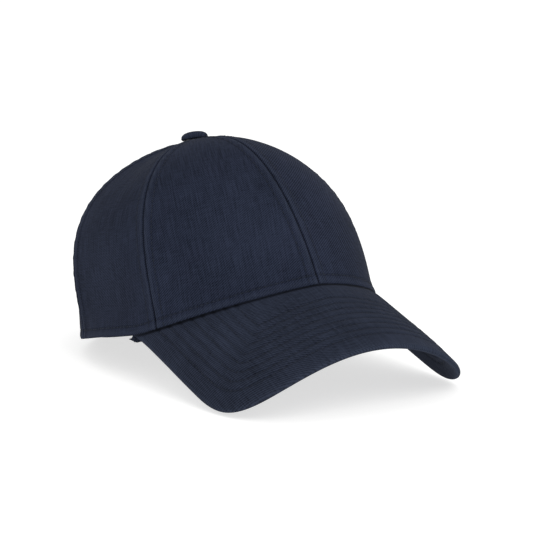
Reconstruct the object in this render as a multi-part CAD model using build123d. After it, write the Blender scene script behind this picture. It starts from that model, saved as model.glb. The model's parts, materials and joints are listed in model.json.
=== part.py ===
from build123d import *
from functools import lru_cache
import math
import os

# A six-panel baseball cap with a curved brim and an adjustable strap behind.
# Lengths are in millimetres. The cap is drawn in its crown frame: the hem lies in the plane z = 0,
# the crown's axis is +Z, the brim points to -Y and the wearer's right is -X. Bearings are angles
# about that axis, measured from the front towards +X. At the end the whole cap is pitched back until
# it stands on its two brim corners and the back of its hem.

# ---- crown form ----
CROWN_HALF_WIDTH = 81.0
CROWN_FRONT_REACH = 102.0
CROWN_BACK_REACH = 108.5
CROWN_HEIGHT = 111.0
WAIST_HEIGHT = 16.5
FRONT_SQUARENESS = 2.12
BACK_SQUARENESS = 2.32
HEM_PINCH = (0.051, -0.019, 0.035)
RISE_POWER = (1.49, 3.29, 1.51)
GIRTH_POWER = (2.92, 1.49, 2.67)
PANEL_FLATNESS_TOP = 0.39
PANEL_FLATNESS_WAIST = 0.30
BACKWARD_LEAN = 0.191
TOP_TILT = 0.055
CROWN_HOLE_RADIUS = 3.0

# ---- hem and seams ----
BRIM_HALF_BEARING = math.radians(75.2)
BRIM_ARCH_RISE = 18.6
BRIM_ARCH_FULLNESS = (1.46, 1.44)
BACK_HEM_DIP = 2.0
BACK_DIP_BEARING = math.radians(150.0)
SEAM_HEM_BEARINGS = (0.0, 61.0, 120.0, 180.0)
SEAM_TOP_BEARINGS = (0.0, 60.0, 120.0, 180.0)
SEAM_GAP = 0.12

# ---- layers of the crown, as depths below its outer surface ----
FABRIC = 0.9
LAYER_GAP = 0.15
RIDGE_EASE = 0.3
STIFFENER = 0.7
TAPE = 0.6
TAPE_WIDTH = 14.0
TAPE_CROWN_CLEARANCE = 16.0
STIFFENER_CROWN_CLEARANCE = 48.0
STIFFENER_HEM_CLEARANCE = 2.0
STIFFENER_SEAM_CLEARANCE = 1.5
PADDING = 0.6
PADDING_HALF_BEARING = math.radians(48.0)
PADDING_LIFT = 4.0
PADDING_TOP_GAP = 6.0
SWEATBAND = 0.8
SWEATBAND_HEIGHT = 31.0
SWEATBAND_LIFT = 1.0
SWEATBAND_HALF_BEARING = math.radians(172.0)

# ---- opening at the back ----
ARCH_WIDTH = 78.0
ARCH_HEIGHT = 44.0
ARCH_STRAIGHT = 14.0
BINDING = 0.55
BINDING_WIDTH = 7.0
BINDING_CLEARANCE = 0.3

# ---- brim ----
BRIM_REACH = 55.7
BRIM_SIDE_FLARE = -0.2
BRIM_WIDEST_SETBACK = 66.0
BRIM_ROOT_HANDLE = 5.6
BRIM_SIDE_HANDLE = 38.0
BRIM_FRONT_HANDLE = 67.0
BRIM_ROOT_TURN = math.radians(-5.0)
BRIM_BEND_RADIUS = 86.5
BRIM_BEND_LIMIT = math.radians(64.6)
BRIM_SLOPE = 0.54
BRIM_SHEET_DROP = 5.7
BRIM_ROOT_BLEND = 15.0
BRIM_CAMBER = 2.8
BRIM_THICKNESS = 3.5
BRIM_FABRIC = 0.8
BRIM_TUCK = 3.4

# ---- button ----
BUTTON_DIAMETER = 16.4
BUTTON_HEIGHT = 4.7
BUTTON_FABRIC = 0.6
BUTTON_SHELL = 0.5
BUTTON_EDGE = 1.4
BUTTON_PLATE = 0.6
BUTTON_PLATE_CLEARANCE = 1.0
RIVET_RADIUS = 1.5
RIVET_FLANGE_RADIUS = 6.0
RIVET_FLANGE = 0.6
RIVET_HEAD = 0.6
RIVET_HEAD_LIP = 1.0
RIVET_HEAD_GAP = 0.1

# ---- strap and buckle ----
STRAP_WIDTH = 18.0
STRAP_THICKNESS = 1.4
STRAP_HEM_GAP = 3.0
STRAP_TRAVEL = 12.0
STRAP_COVER = 8.0
STRAP_CLEARANCE = 3.5
STRAP_FLARE = 0.12
POCKET_DEPTH = 8.3
POCKET_BEARINGS = (math.radians(98.0), math.radians(128.0))
BUCKLE_FROM_OPENING = 22.45
BUCKLE_PLATE = 0.8
BUCKLE_PLATE_GAP = 1.0
BUCKLE_EAR = 1.0
BUCKLE_SIDE_GAP = 0.8
BUCKLE_FRONT = 8.0
BUCKLE_BACK = 13.0
BUCKLE_SLOT = (8.8, 11.0)
BUCKLE_RAIL = (-9.0, 6.0)
BUCKLE_RAIL_TOP = 0.8
BUCKLE_EAR_WALL = 1.0
PIN_RADIUS = 0.9
PIN_HEIGHT = 2.9
PIN_OFFSET = 5.0
RUNNING_CLEARANCE = 0.05
LEVER_SIDE_GAP = 0.5
LEVER_LENGTH = 13.0
LEVER_THICKNESS = 1.0
CAM_GAP = 0.35
TAB_FOLD = 0.65
TAB_COVER = 10.55
TAB_SIDE_GAP = 0.6

# ---- labels ----
LABEL = 0.3
LABEL_GAP = 0.4
LABEL_WIDTH = 20.0
LABEL_HEIGHT = 18.0
CARE_LABEL_WIDTH = 26.0


def clamp(value, low=0.0, high=1.0):
    """Keep a value between two limits."""
    return max(low, min(high, value))


def smooth_step(value):
    """Ease from 0 to 1."""
    share = clamp(value)
    return share * share * (3 - 2 * share)


def by_bearing(bearing, front_side_back):
    """Blend a front, a side and a back value around the crown."""
    front, side, back = front_side_back
    along = math.cos(bearing)
    end = front if along > 0 else back
    return side + (end - side) * along * along


# ---- crown surface ----

def outline_radius(bearing):
    """Plan radius of the crown at its waist: one superellipse in front and one behind."""
    along = math.cos(bearing)
    reach = CROWN_FRONT_REACH if along > 0 else CROWN_BACK_REACH
    power = FRONT_SQUARENESS if along > 0 else BACK_SQUARENESS
    across = abs(math.sin(bearing)) / CROWN_HALF_WIDTH
    return (across ** power + (abs(along) / reach) ** power) ** (-1 / power)


def facet(bearing):
    """How far a flat panel between two seams lies inside the round outline."""
    sixth = math.pi / 3
    return math.cos(sixth / 2) / math.cos(bearing % sixth - sixth / 2)


def crown_point(bearing, height):
    """A point of the crown's outer surface."""
    rise_power = by_bearing(bearing, RISE_POWER)
    girth_power = by_bearing(bearing, GIRTH_POWER)
    rise = clamp((height - WAIST_HEIGHT) / (CROWN_HEIGHT - WAIST_HEIGHT))
    girth = (1 - rise ** rise_power) ** (1 / girth_power)
    if height < WAIST_HEIGHT:
        below = (WAIST_HEIGHT - height) / WAIST_HEIGHT
        girth = 1 - by_bearing(bearing, HEM_PINCH) * below ** 2
    near_waist = clamp(height / WAIST_HEIGHT)
    flatness = PANEL_FLATNESS_TOP * rise + PANEL_FLATNESS_WAIST * (1 - rise) * near_waist
    radius = outline_radius(bearing) * girth * (1 - flatness + flatness * facet(bearing))
    back = -radius * math.cos(bearing)
    side = radius * math.sin(bearing)
    return Vector(side, back + BACKWARD_LEAN * height, height - TOP_TILT * back * rise)


def crown_normal(bearing, height):
    """Outward unit normal of the crown's outer surface."""
    turn = 0.01
    step = min(0.5, 0.2 * (CROWN_HEIGHT - height))
    around = crown_point(bearing + turn, height) - crown_point(bearing - turn, height)
    upwards = crown_point(bearing, height + step) - crown_point(bearing, height - step)
    return around.cross(upwards).normalized()


def skin_point(bearing, height, depth):
    """A point a given depth inside the crown's outer surface."""
    return crown_point(bearing, height) - crown_normal(bearing, height) * depth


def girth_radius(bearing, height):
    """Distance of the outer surface from the crown's leaning axis."""
    point = crown_point(bearing, height)
    return math.hypot(point.X, point.Y - BACKWARD_LEAN * height)


def height_at_radius(bearing, radius):
    """Height near the top at which the crown has a given radius."""
    flat = 1 - PANEL_FLATNESS_TOP + PANEL_FLATNESS_TOP * facet(bearing)
    girth = radius / (outline_radius(bearing) * flat)
    rise = (1 - girth ** by_bearing(bearing, GIRTH_POWER)) ** (1 / by_bearing(bearing, RISE_POWER))
    return WAIST_HEIGHT + (CROWN_HEIGHT - WAIST_HEIGHT) * rise


def hem_height(bearing):
    """Height of the crown's lower edge, which arches over the brim and dips a little behind."""
    across = min(abs(bearing) / BRIM_HALF_BEARING, 1.0)
    reach_power, crest_power = BRIM_ARCH_FULLNESS
    behind = (abs(bearing) - BRIM_HALF_BEARING) / (BACK_DIP_BEARING - BRIM_HALF_BEARING)
    return BRIM_ARCH_RISE * (1 - across ** reach_power) ** crest_power - BACK_HEM_DIP * smooth_step(behind)


def seam_bearing(seam, height):
    """Bearing of seam -3 to 3 at a height, from front centre (0) to back centre (3)."""
    share = clamp(height / CROWN_HEIGHT)
    hem, top = SEAM_HEM_BEARINGS[abs(seam)], SEAM_TOP_BEARINGS[abs(seam)]
    return math.copysign(math.radians(hem + (top - hem) * share), seam)


def spaced_heights(bearing_at, low, high, count):
    """Heights that divide a meridian's length into equal stretches."""
    fine = 90
    heights = [low + (high - low) * math.sin(i / fine * math.pi / 2) for i in range(fine + 1)]
    points = [crown_point(bearing_at(height), height) for height in heights]
    lengths = [0.0]
    for a, b in zip(points, points[1:]):
        lengths.append(lengths[-1] + (b - a).length)
    spaced = []
    for k in range(count):
        wanted = lengths[-1] * k / (count - 1)
        i = max(j for j in range(fine) if lengths[j] <= wanted + 1e-9)
        share = (wanted - lengths[i]) / (lengths[i + 1] - lengths[i])
        quarter = (i + clamp(share)) / fine * math.pi / 2
        spaced.append(low + (high - low) * math.sin(quarter))
    return spaced


# ---- thick sheets ----

def thick_sheet(outside, inside, tolerance=0.01):
    """Close the space between two grids of points into a solid."""
    outer = Face.make_surface_from_array_of_points(outside, tol=tolerance)
    inner = Face.make_surface_from_array_of_points(inside, tol=tolerance)
    edges = zip(outer.edges(), inner.edges())
    walls = [Face.make_surface_from_curves(a, b) for a, b in edges]
    return Solid(Shell([outer, inner] + walls))


def crown_sheet(columns, top_depth, bottom_depth):
    """A sheet that follows the crown, from columns of (bearing, height) stations."""
    depths = (top_depth, bottom_depth)
    grids = [[[skin_point(b, h, d) for b, h in column] for column in columns] for d in depths]
    return thick_sheet(*grids)


def panel_columns(first_seam, second_seam, hem, top_radius, count=13, rows=15, inset=SEAM_GAP / 2):
    """Stations of a gore between two seams, a little clear of both."""
    columns = []
    for i in range(count):
        share = i / (count - 1)

        def bearing_at(height):
            first, second = seam_bearing(first_seam, height), seam_bearing(second_seam, height)
            if second_seam == -3 or first_seam == -3:
                first, second = sorted((first, second))
            clear = inset / max(girth_radius((first + second) / 2, height), inset * 4)
            return first + clear + (second - first - 2 * clear) * share

        low = hem_height(bearing_at(0.0)) + hem
        high = height_at_radius(bearing_at(CROWN_HEIGHT), top_radius)
        heights = spaced_heights(bearing_at, low, high, rows)
        columns.append([(bearing_at(height), height) for height in heights])
    return columns


def arch_profile(grow=0.0):
    """Outline of the back opening, seen along Y: straight legs under half an ellipse."""
    half = ARCH_WIDTH / 2 + grow
    crest = ARCH_HEIGHT - ARCH_STRAIGHT + grow
    floor = -20.0
    with BuildSketch(Plane.XZ) as outline:
        with Locations((0, ARCH_STRAIGHT)):
            Ellipse(half, crest)
        with Locations((0, (ARCH_STRAIGHT + floor) / 2)):
            Rectangle(2 * half, ARCH_STRAIGHT - floor)
        with Locations((0, floor - crest)):
            Rectangle(4 * half, 2 * crest, mode=Mode.SUBTRACT)
    return outline.sketch


def arch_tool(grow=0.0):
    """The back opening as a solid that reaches out through the back of the crown."""
    return extrude(arch_profile(grow), -2 * CROWN_BACK_REACH)


# ---- crown pieces ----

def crown_panel(first_seam, second_seam):
    """One fabric gore of the crown."""
    panel = crown_sheet(panel_columns(first_seam, second_seam, 0.0, CROWN_HOLE_RADIUS), 0.0, FABRIC)
    if 3 in (abs(first_seam), abs(second_seam)):
        panel = panel - arch_tool()
    return panel


def front_stiffener(first_seam, second_seam):
    """Stiff open-weave backing of one front panel, short of its seams, hem and top."""
    columns = panel_columns(first_seam, second_seam, STIFFENER_HEM_CLEARANCE, STIFFENER_CROWN_CLEARANCE,
                            inset=STIFFENER_SEAM_CLEARANCE)
    depth = FABRIC + LAYER_GAP
    return crown_sheet(columns, depth, depth + STIFFENER)


def seam_tape(seam):
    """Binding tape that covers the raw edges of one seam inside the crown."""
    depth = FABRIC + STIFFENER + 2 * LAYER_GAP + RIDGE_EASE
    columns = []
    for i in range(7):
        across = (i - 3) * TAPE_WIDTH / 6

        def bearing_at(height):
            return seam_bearing(seam, height) + across / girth_radius(seam_bearing(seam, height), height)

        low = hem_height(bearing_at(0.0)) + SWEATBAND_LIFT
        high = height_at_radius(seam_bearing(seam, CROWN_HEIGHT), TAPE_CROWN_CLEARANCE)
        heights = spaced_heights(bearing_at, low, high, 16)
        columns.append([(bearing_at(height), height) for height in heights])
    tape = crown_sheet(columns, depth, depth + TAPE)
    if abs(seam) == 3:
        tape = tape - arch_tool(BINDING_WIDTH + BINDING_CLEARANCE)
    return tape


def band_columns(first, second, lift, height, count):
    """Stations of a low band that follows the hem between two bearings."""
    columns = []
    for i in range(count):
        bearing = first + (second - first) * i / (count - 1)
        low = hem_height(bearing) + lift
        columns.append([(bearing, low + height * k / 4) for k in range(5)])
    return columns


def sweatband_depth(bearing):
    """Depth of the sweatband, which stands off behind to leave a pocket for the strap."""
    front = FABRIC + STIFFENER + TAPE + PADDING + 5 * LAYER_GAP + 2 * RIDGE_EASE
    start, end = POCKET_BEARINGS
    return front + (POCKET_DEPTH - front) * smooth_step((abs(bearing) - start) / (end - start))


def sweatband():
    """Folded band round the inside of the hem, open at the back arch."""
    half = SWEATBAND_HALF_BEARING
    columns = band_columns(-half, half, SWEATBAND_LIFT, SWEATBAND_HEIGHT, 49)
    grids = []
    for extra in (0.0, SWEATBAND):
        grids.append([[skin_point(b, h, sweatband_depth(b) + extra) for b, h in c] for c in columns])
    return thick_sheet(*grids, tolerance=0.1) - arch_tool(LAYER_GAP)


def sweatband_padding():
    """Thin foam strip between the forehead stiffener and the sweatband."""
    half = PADDING_HALF_BEARING
    height = SWEATBAND_HEIGHT - PADDING_LIFT - PADDING_TOP_GAP
    columns = band_columns(-half, half, SWEATBAND_LIFT + PADDING_LIFT, height, 25)
    depth = FABRIC + STIFFENER + TAPE + 4 * LAYER_GAP + RIDGE_EASE
    return crown_sheet(columns, depth, depth + PADDING)


def back_patch(top_depth, bottom_depth):
    """The region of the crown around the back opening, between two depths."""
    columns = []
    for i in range(-4, 5):
        bearing = math.pi + math.radians(50) * i / 4
        low = -BACK_HEM_DIP - 1
        columns.append([(bearing, low + (ARCH_HEIGHT + 19) * k / 6) for k in range(7)])
    return crown_sheet(columns, top_depth, bottom_depth)


def arch_binding():
    """Fabric trim folded over the edge of the back opening."""
    hem_cut = Pos(0, 0, -50 - BACK_HEM_DIP) * Box(600, 600, 100)
    slack = BINDING_CLEARANCE
    ring = arch_tool(BINDING_WIDTH) - arch_tool(-BINDING - slack)
    edge = arch_tool(BINDING_WIDTH + 5) - arch_tool(-slack)
    wrap = back_patch(-BINDING - slack, FABRIC + BINDING + slack) & ring
    core = back_patch(-slack, FABRIC + slack) & edge
    return wrap - core - hem_cut


# ---- brim surface ----

def brim_bend(side):
    """Drop of the bent brim away from its centre line: an arc, then its tangent."""
    reach = BRIM_BEND_RADIUS * math.sin(BRIM_BEND_LIMIT)
    arc = BRIM_BEND_RADIUS - math.sqrt(BRIM_BEND_RADIUS ** 2 - min(abs(side), reach) ** 2)
    return arc + max(abs(side) - reach, 0.0) * math.tan(BRIM_BEND_LIMIT)


def root_point(share):
    """Point of the brim's root on the hem, for shares -1 to 1 from corner to corner."""
    bearing = share * BRIM_HALF_BEARING
    return crown_point(bearing, hem_height(bearing)) - Vector(0, 0, LAYER_GAP)


def tuck_point(share):
    """Inner end of the brim, tucked under the layers of the hem."""
    bearing = share * BRIM_HALF_BEARING
    point = skin_point(bearing, hem_height(bearing), BRIM_TUCK)
    return Vector(point.X, point.Y, root_point(share).Z)


def sheet_height(side, back):
    """Height of the brim's bent sheet over a point of its plan."""
    front_root = root_point(0.0)
    ahead = front_root.Y - back
    return front_root.Z - BRIM_SHEET_DROP - BRIM_SLOPE * ahead - brim_bend(side)


def bezier(a, b, c, d, t):
    """A point of a cubic curve."""
    s = 1 - t
    return a * s ** 3 + b * (3 * t * s * s) + c * (3 * t * t * s) + d * t ** 3


@lru_cache(maxsize=None)
def half_outline():
    """Plan of half the brim's outer edge, from the front centre to the corner, with its lengths."""
    corner = root_point(1.0)
    front_y = root_point(0.0).Y - BRIM_REACH
    front = Vector(0, front_y)
    widest = Vector(corner.X + BRIM_SIDE_FLARE, front_y + BRIM_WIDEST_SETBACK)
    root = Vector(corner.X, corner.Y)
    turn = Vector(math.sin(BRIM_ROOT_TURN), -math.cos(BRIM_ROOT_TURN)) * BRIM_ROOT_HANDLE
    points = []
    steps = 60
    for i in range(steps):
        side_handle, front_handle = Vector(0, BRIM_SIDE_HANDLE), Vector(BRIM_FRONT_HANDLE, 0)
        points.append(bezier(front, front + front_handle, widest - side_handle, widest, i / steps))
    for i in range(steps + 1):
        back_handle = Vector(0, BRIM_ROOT_HANDLE)
        points.append(bezier(widest, widest + back_handle, root + turn, root, i / steps))
    lengths = [0.0]
    for a, b in zip(points, points[1:]):
        lengths.append(lengths[-1] + (b - a).length)
    return points, lengths


def outline_point(share):
    """Plan point of the brim's outer edge, for shares -1 to 1 from corner to corner."""
    points, lengths = half_outline()
    wanted = min(abs(share), 1.0) * lengths[-1]
    i = max(j for j in range(len(lengths) - 1) if lengths[j] <= wanted)
    step = (wanted - lengths[i]) / (lengths[i + 1] - lengths[i])
    point = points[i] + (points[i + 1] - points[i]) * clamp(step)
    return Vector(math.copysign(point.X, share), point.Y)


@lru_cache(maxsize=None)
def brim_column(share):
    """Fine points across the brim's top, from its tuck to its outer edge, with their lengths."""
    share = clamp(share, -1.0, 1.0)
    tuck, root, rim = tuck_point(share), root_point(share), outline_point(share)
    lift = root.Z - sheet_height(root.X, root.Y)
    points = [tuck]
    steps = 40
    for i in range(steps + 1):
        across = i / steps
        side = root.X + (rim.X - root.X) * across
        back = root.Y + (rim.Y - root.Y) * across
        away = math.hypot(side - root.X, back - root.Y)
        height = sheet_height(side, back) + lift * math.exp(-(away / BRIM_ROOT_BLEND) ** 2)
        height += BRIM_CAMBER * 4 * across * (1 - across) * (1 - share * share)
        points.append(Vector(side, back, height))
    lengths = [0.0]
    for a, b in zip(points, points[1:]):
        lengths.append(lengths[-1] + (b - a).length)
    return points, lengths


def brim_point(share, distance):
    """Point of the brim's top at a distance from the tucked edge."""
    points, lengths = brim_column(share)
    distance = min(distance, lengths[-1])
    i = max(j for j in range(len(lengths) - 1) if lengths[j] <= distance + 1e-9 or j == 0)
    step = (distance - lengths[i]) / max(lengths[i + 1] - lengths[i], 1e-9)
    return points[i] + (points[i + 1] - points[i]) * step


def brim_normal(share, distance):
    """Upward unit normal of the brim's top."""
    low_share, high_share = max(share - 0.02, -1.0), min(share + 0.02, 1.0)
    length = brim_column(share)[1][-1]
    part = distance / length
    low = brim_point(low_share, part * brim_column(low_share)[1][-1])
    high = brim_point(high_share, part * brim_column(high_share)[1][-1])
    back, ahead = max(distance - 1.0, 0.0), min(distance + 1.0, length)
    outwards = brim_point(share, ahead) - brim_point(share, back)
    normal = outwards.cross(high - low).normalized()
    return normal if normal.Z > 0 else normal * -1


def brim_grid(columns, layer):
    """Points of one brim surface: layer gives (inset, depth) pairs after the flat stretch."""
    flat_rows = 9
    grid = []
    for share in columns:
        length = brim_column(share)[1][-1]
        stations = []
        flat_end = length - layer[0][0]
        for row in range(flat_rows):
            stations.append((flat_end * row / flat_rows, layer[0][1]))
        stations += [(length - inset, depth) for inset, depth in layer]
        grid.append([brim_point(share, s) - brim_normal(share, s) * d for s, d in stations])
    return grid


def rolled_edge(radius, side):
    """Insets and depths of a quarter roll around the brim's edge; side is 1 above, -1 below."""
    middle = BRIM_THICKNESS / 2
    turns = [math.radians(22.5 * i) for i in range(5)]
    return [(middle - radius * math.sin(a), middle - side * radius * math.cos(a)) for a in turns]


def brim_shares(limit=1.0, count=41):
    """Even shares across the brim."""
    return [limit * (2 * i / (count - 1) - 1) for i in range(count)]


def brim_cover(side):
    """Fabric over one face of the brim, rolled round its edge to the middle of the thickness."""
    outer_radius = BRIM_THICKNESS / 2
    outer = rolled_edge(outer_radius, side)
    inner = rolled_edge(outer_radius - BRIM_FABRIC, side)
    seam = LAYER_GAP / 2 * side
    outer[-1] = (outer[-1][0], outer[-1][1] - seam)
    inner[-1] = (inner[-1][0], inner[-1][1] - seam)
    high, low = (outer, inner) if side > 0 else (inner, outer)
    return thick_sheet(brim_grid(brim_shares(), high), brim_grid(brim_shares(), low))


def brim_board():
    """Stiff plastic board between the two covers."""
    shares = brim_shares(0.96)
    inset = BRIM_THICKNESS / 2 + LAYER_GAP
    high = BRIM_FABRIC + LAYER_GAP / 2
    low = BRIM_THICKNESS - high
    return thick_sheet(brim_grid(shares, [(inset, high)]), brim_grid(shares, [(inset, low)]))


# ---- button ----

def button_frame():
    """Place of the button: on the crown's top, square to its tilted surface."""
    top = crown_point(0.0, CROWN_HEIGHT)
    return Pos(top.X, top.Y, top.Z) * Rot(X=-math.degrees(math.atan(TOP_TILT)))


def dome(radius, height, edge):
    """Solid of a low dome with a rounded edge, standing on the plane z = 0."""
    section = Polyline((0, 0), (radius - edge / 2, 0), (radius, edge))
    crown = Spline((radius, edge), (radius * 0.72, height * 0.87), (0, height),
                   tangents=[(0, 1), (-1, 0)])
    axis = Line((0, height), (0, 0))
    outline = Plane.XZ * make_face([*section.edges(), crown, axis])
    return revolve(outline, Axis.Z)


def button_cover():
    """Fabric stretched over the button's metal cap."""
    radius = BUTTON_DIAMETER / 2
    lift = Pos(0, 0, LAYER_GAP)
    outer = dome(radius, BUTTON_HEIGHT, BUTTON_EDGE)
    inner = dome(radius - BUTTON_FABRIC, BUTTON_HEIGHT - BUTTON_FABRIC, BUTTON_EDGE)
    return button_frame() * lift * (outer - inner)


def button_shell():
    """Pressed metal cap inside the button's fabric."""
    radius = BUTTON_DIAMETER / 2 - BUTTON_FABRIC - LAYER_GAP
    height = BUTTON_HEIGHT - BUTTON_FABRIC - LAYER_GAP
    outer = dome(radius, height, BUTTON_EDGE)
    inner = dome(radius - BUTTON_SHELL, height - BUTTON_SHELL, BUTTON_EDGE)
    return button_frame() * Pos(0, 0, LAYER_GAP) * (outer - inner)


def button_back_plate():
    """Disc that closes the back of the button round its rivet."""
    radius = BUTTON_DIAMETER / 2 - BUTTON_FABRIC - BUTTON_SHELL - BUTTON_PLATE_CLEARANCE
    hole = RIVET_RADIUS + RUNNING_CLEARANCE
    disc = Cylinder(radius, BUTTON_PLATE, align=(Align.CENTER, Align.CENTER, Align.MIN))
    bore = Cylinder(hole, 4 * BUTTON_PLATE)
    return button_frame() * Pos(0, 0, 2 * LAYER_GAP) * (disc - bore)


def button_rivet():
    """Rivet that holds the button through the crown, with a flange inside."""
    bottom = -(FABRIC + RIDGE_EASE + 2 * LAYER_GAP + RIVET_FLANGE)
    head_top = 2 * LAYER_GAP + BUTTON_PLATE + RIVET_HEAD_GAP + RIVET_HEAD
    low = (Align.CENTER, Align.CENTER, Align.MIN)
    post = Pos(0, 0, bottom) * Cylinder(RIVET_RADIUS, head_top - bottom, align=low)
    flange = Pos(0, 0, bottom) * Cylinder(RIVET_FLANGE_RADIUS, RIVET_FLANGE, align=low)
    head = Pos(0, 0, head_top - RIVET_HEAD) * Cylinder(RIVET_RADIUS + RIVET_HEAD_LIP, RIVET_HEAD, align=low)
    return button_frame() * (post + flange + head)


# ---- strap and buckle ----

@lru_cache(maxsize=None)
def strap_circle():
    """Centre (as Y) and middle radius of the strap's arc, fitted to three points of the hem."""
    height = STRAP_HEM_GAP + STRAP_WIDTH / 2
    inside = FABRIC + STRAP_CLEARANCE + STRAP_THICKNESS / 2
    back = skin_point(math.pi, height, inside)
    flank = skin_point(math.radians(133), height, inside)
    drop = back.Y - flank.Y
    radius = (flank.X ** 2 + drop ** 2) / (2 * drop)
    return back.Y - radius, radius


def arc_block(inner, outer, first, last, bottom, top):
    """A block in the strap's round frame: offsets from its middle surface, arc lengths and heights.

    Arc lengths grow from the centre back towards the wearer's left, which is +X.
    """
    centre, radius = strap_circle()
    middle = STRAP_HEM_GAP + STRAP_WIDTH / 2
    corners = []
    for offset, height in ((inner, bottom), (outer, bottom), (outer, top), (inner, top)):
        corners.append((radius + offset + STRAP_FLARE * height, middle + height))
    face = Plane.XZ * make_face(Polyline(*corners, close=True))
    degrees = math.degrees((last - first) / radius)
    block = revolve(face, Axis.Z, degrees)
    start = 90 - math.degrees(first / radius) - degrees
    return Pos(0, centre, 0) * Rot(Z=start) * block


def opening_half_length():
    """Arc length along the strap from its middle to either side of the back opening."""
    radius = strap_circle()[1]
    return radius * math.asin(ARCH_WIDTH / 2 / radius)


def buckle_setover():
    """Arc length from the strap's middle to the middle of the buckle."""
    return opening_half_length() - BUCKLE_FROM_OPENING


def strap():
    """Fabric strap across the back opening, with both ends hidden in the hem."""
    half = opening_half_length() + STRAP_TRAVEL + STRAP_COVER
    thick, width = STRAP_THICKNESS / 2, STRAP_WIDTH / 2
    return arc_block(-thick, thick, -half, half, -width, width)


def buckle_plane():
    """Frame of the buckle: x along the strap towards its middle, y up, z outwards."""
    centre, radius = strap_circle()
    angle = buckle_setover() / radius
    outward = Vector(-math.sin(angle), math.cos(angle), -STRAP_FLARE).normalized()
    along = Vector(math.cos(angle), math.sin(angle), 0)
    middle = STRAP_HEM_GAP + STRAP_WIDTH / 2
    origin = Vector(-radius * math.sin(angle), centre + radius * math.cos(angle), middle)
    return Plane(origin, x_dir=along, z_dir=outward)


def pin_rod(radius, half_length):
    """A rod along the buckle's hinge line."""
    rod = Rot(X=90) * Cylinder(radius, 2 * half_length)
    return Pos(PIN_OFFSET, 0, PIN_HEIGHT) * rod


def buckle_inner_half():
    """Half the height between the buckle's two ears."""
    return STRAP_WIDTH / 2 + BUCKLE_SIDE_GAP


def buckle_frame():
    """Metal buckle body: a curved plate behind the strap, a slot for the tab and two ears."""
    inner, outer = buckle_inner_half(), buckle_inner_half() + BUCKLE_EAR
    face = -STRAP_THICKNESS / 2 - BUCKLE_PLATE_GAP
    middle = -buckle_setover()
    front, back = middle + BUCKLE_FRONT, middle - BUCKLE_BACK
    near, far = middle - BUCKLE_SLOT[0], middle - BUCKLE_SLOT[1]
    plate = arc_block(face - BUCKLE_PLATE, face, back, front, -outer, outer)
    reach = 5 * BUCKLE_PLATE
    slot = arc_block(face - reach, face + reach, far, near, -STRAP_WIDTH / 2, STRAP_WIDTH / 2)
    body = plate - slot
    ear_radius = PIN_RADIUS + BUCKLE_EAR_WALL
    floor = face - BUCKLE_PLATE / 2
    for side in (-1, 1):
        post_height = PIN_HEIGHT - floor
        post = Pos(PIN_OFFSET, 0, floor + post_height / 2) * Box(2 * ear_radius, BUCKLE_EAR, post_height)
        rail_height = BUCKLE_RAIL_TOP - floor
        rail_middle = Pos(sum(BUCKLE_RAIL) / 2, 0, floor + rail_height / 2)
        rail = rail_middle * Box(BUCKLE_RAIL[1] - BUCKLE_RAIL[0], BUCKLE_EAR, rail_height)
        eye = Pos(PIN_OFFSET, 0, PIN_HEIGHT) * Rot(X=90) * Cylinder(ear_radius, BUCKLE_EAR)
        ear = Pos(0, side * (inner + outer) / 2, 0) * (post + rail + eye)
        body = body + buckle_plane().location * ear
    hole = pin_rod(PIN_RADIUS + RUNNING_CLEARANCE, outer + 2)
    return body - buckle_plane().location * hole


def buckle_pin():
    """Hinge pin of the buckle's lever."""
    return buckle_plane().location * pin_rod(PIN_RADIUS, buckle_inner_half() + BUCKLE_EAR)


def buckle_lever():
    """Clamping lever: a plate with a barrel whose cam comes down towards the strap."""
    half = buckle_inner_half() - LEVER_SIDE_GAP
    cam_radius = PIN_HEIGHT - STRAP_THICKNESS / 2 - CAM_GAP
    barrel = pin_rod(cam_radius, half)
    top = PIN_HEIGHT + cam_radius
    low = (Align.MAX, Align.CENTER, Align.MAX)
    plate = Pos(PIN_OFFSET, 0, top) * Box(LEVER_LENGTH, 2 * half, LEVER_THICKNESS, align=low)
    tip = Pos(PIN_OFFSET - LEVER_LENGTH, 0, top - LEVER_THICKNESS / 2)
    lip = tip * Rot(X=90) * Cylinder(LEVER_THICKNESS * 0.75, 2 * half)
    bore = pin_rod(PIN_RADIUS + RUNNING_CLEARANCE, half + 2)
    return buckle_plane().location * (barrel + plate + lip - bore)


def buckle_tab():
    """Short fabric tab folded through the buckle's slot and sewn into the pocket."""
    face = -STRAP_THICKNESS / 2 - BUCKLE_PLATE_GAP
    back = -buckle_setover() - BUCKLE_BACK
    far = -buckle_setover() - BUCKLE_SLOT[1]
    end = -opening_half_length() - TAB_COVER
    width = STRAP_WIDTH / 2 - TAB_SIDE_GAP
    outer_face, inner_face = face + TAB_FOLD, face - BUCKLE_PLATE - TAB_FOLD
    gap = RUNNING_CLEARANCE
    loop = arc_block(inner_face, outer_face, back - 1.2, far + TAB_FOLD + gap, -width, width)
    cavity = arc_block(face - BUCKLE_PLATE - gap, face + gap, back - gap, far + gap, -width, width)
    tail = arc_block(inner_face + 0.5, outer_face - 0.3, end, back - 1.0, -width, width)
    return (loop - cavity) + tail


# ---- labels ----

def label(bearing_degrees, width):
    """A blank woven label lying on the inside of the sweatband."""
    bearing = math.radians(bearing_degrees)
    spread = width / 2 / girth_radius(bearing, SWEATBAND_HEIGHT / 2)
    lift = SWEATBAND_LIFT + (SWEATBAND_HEIGHT - LABEL_HEIGHT) / 2
    columns = band_columns(bearing - spread, bearing + spread, lift, LABEL_HEIGHT, 5)
    grids = []
    for extra in (LABEL_GAP, LABEL_GAP + LABEL):
        depth = SWEATBAND + extra
        grids.append([[skin_point(b, h, sweatband_depth(b) + depth) for b, h in c] for c in columns])
    return thick_sheet(*grids)


# ---- the cap on its own feet ----

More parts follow.
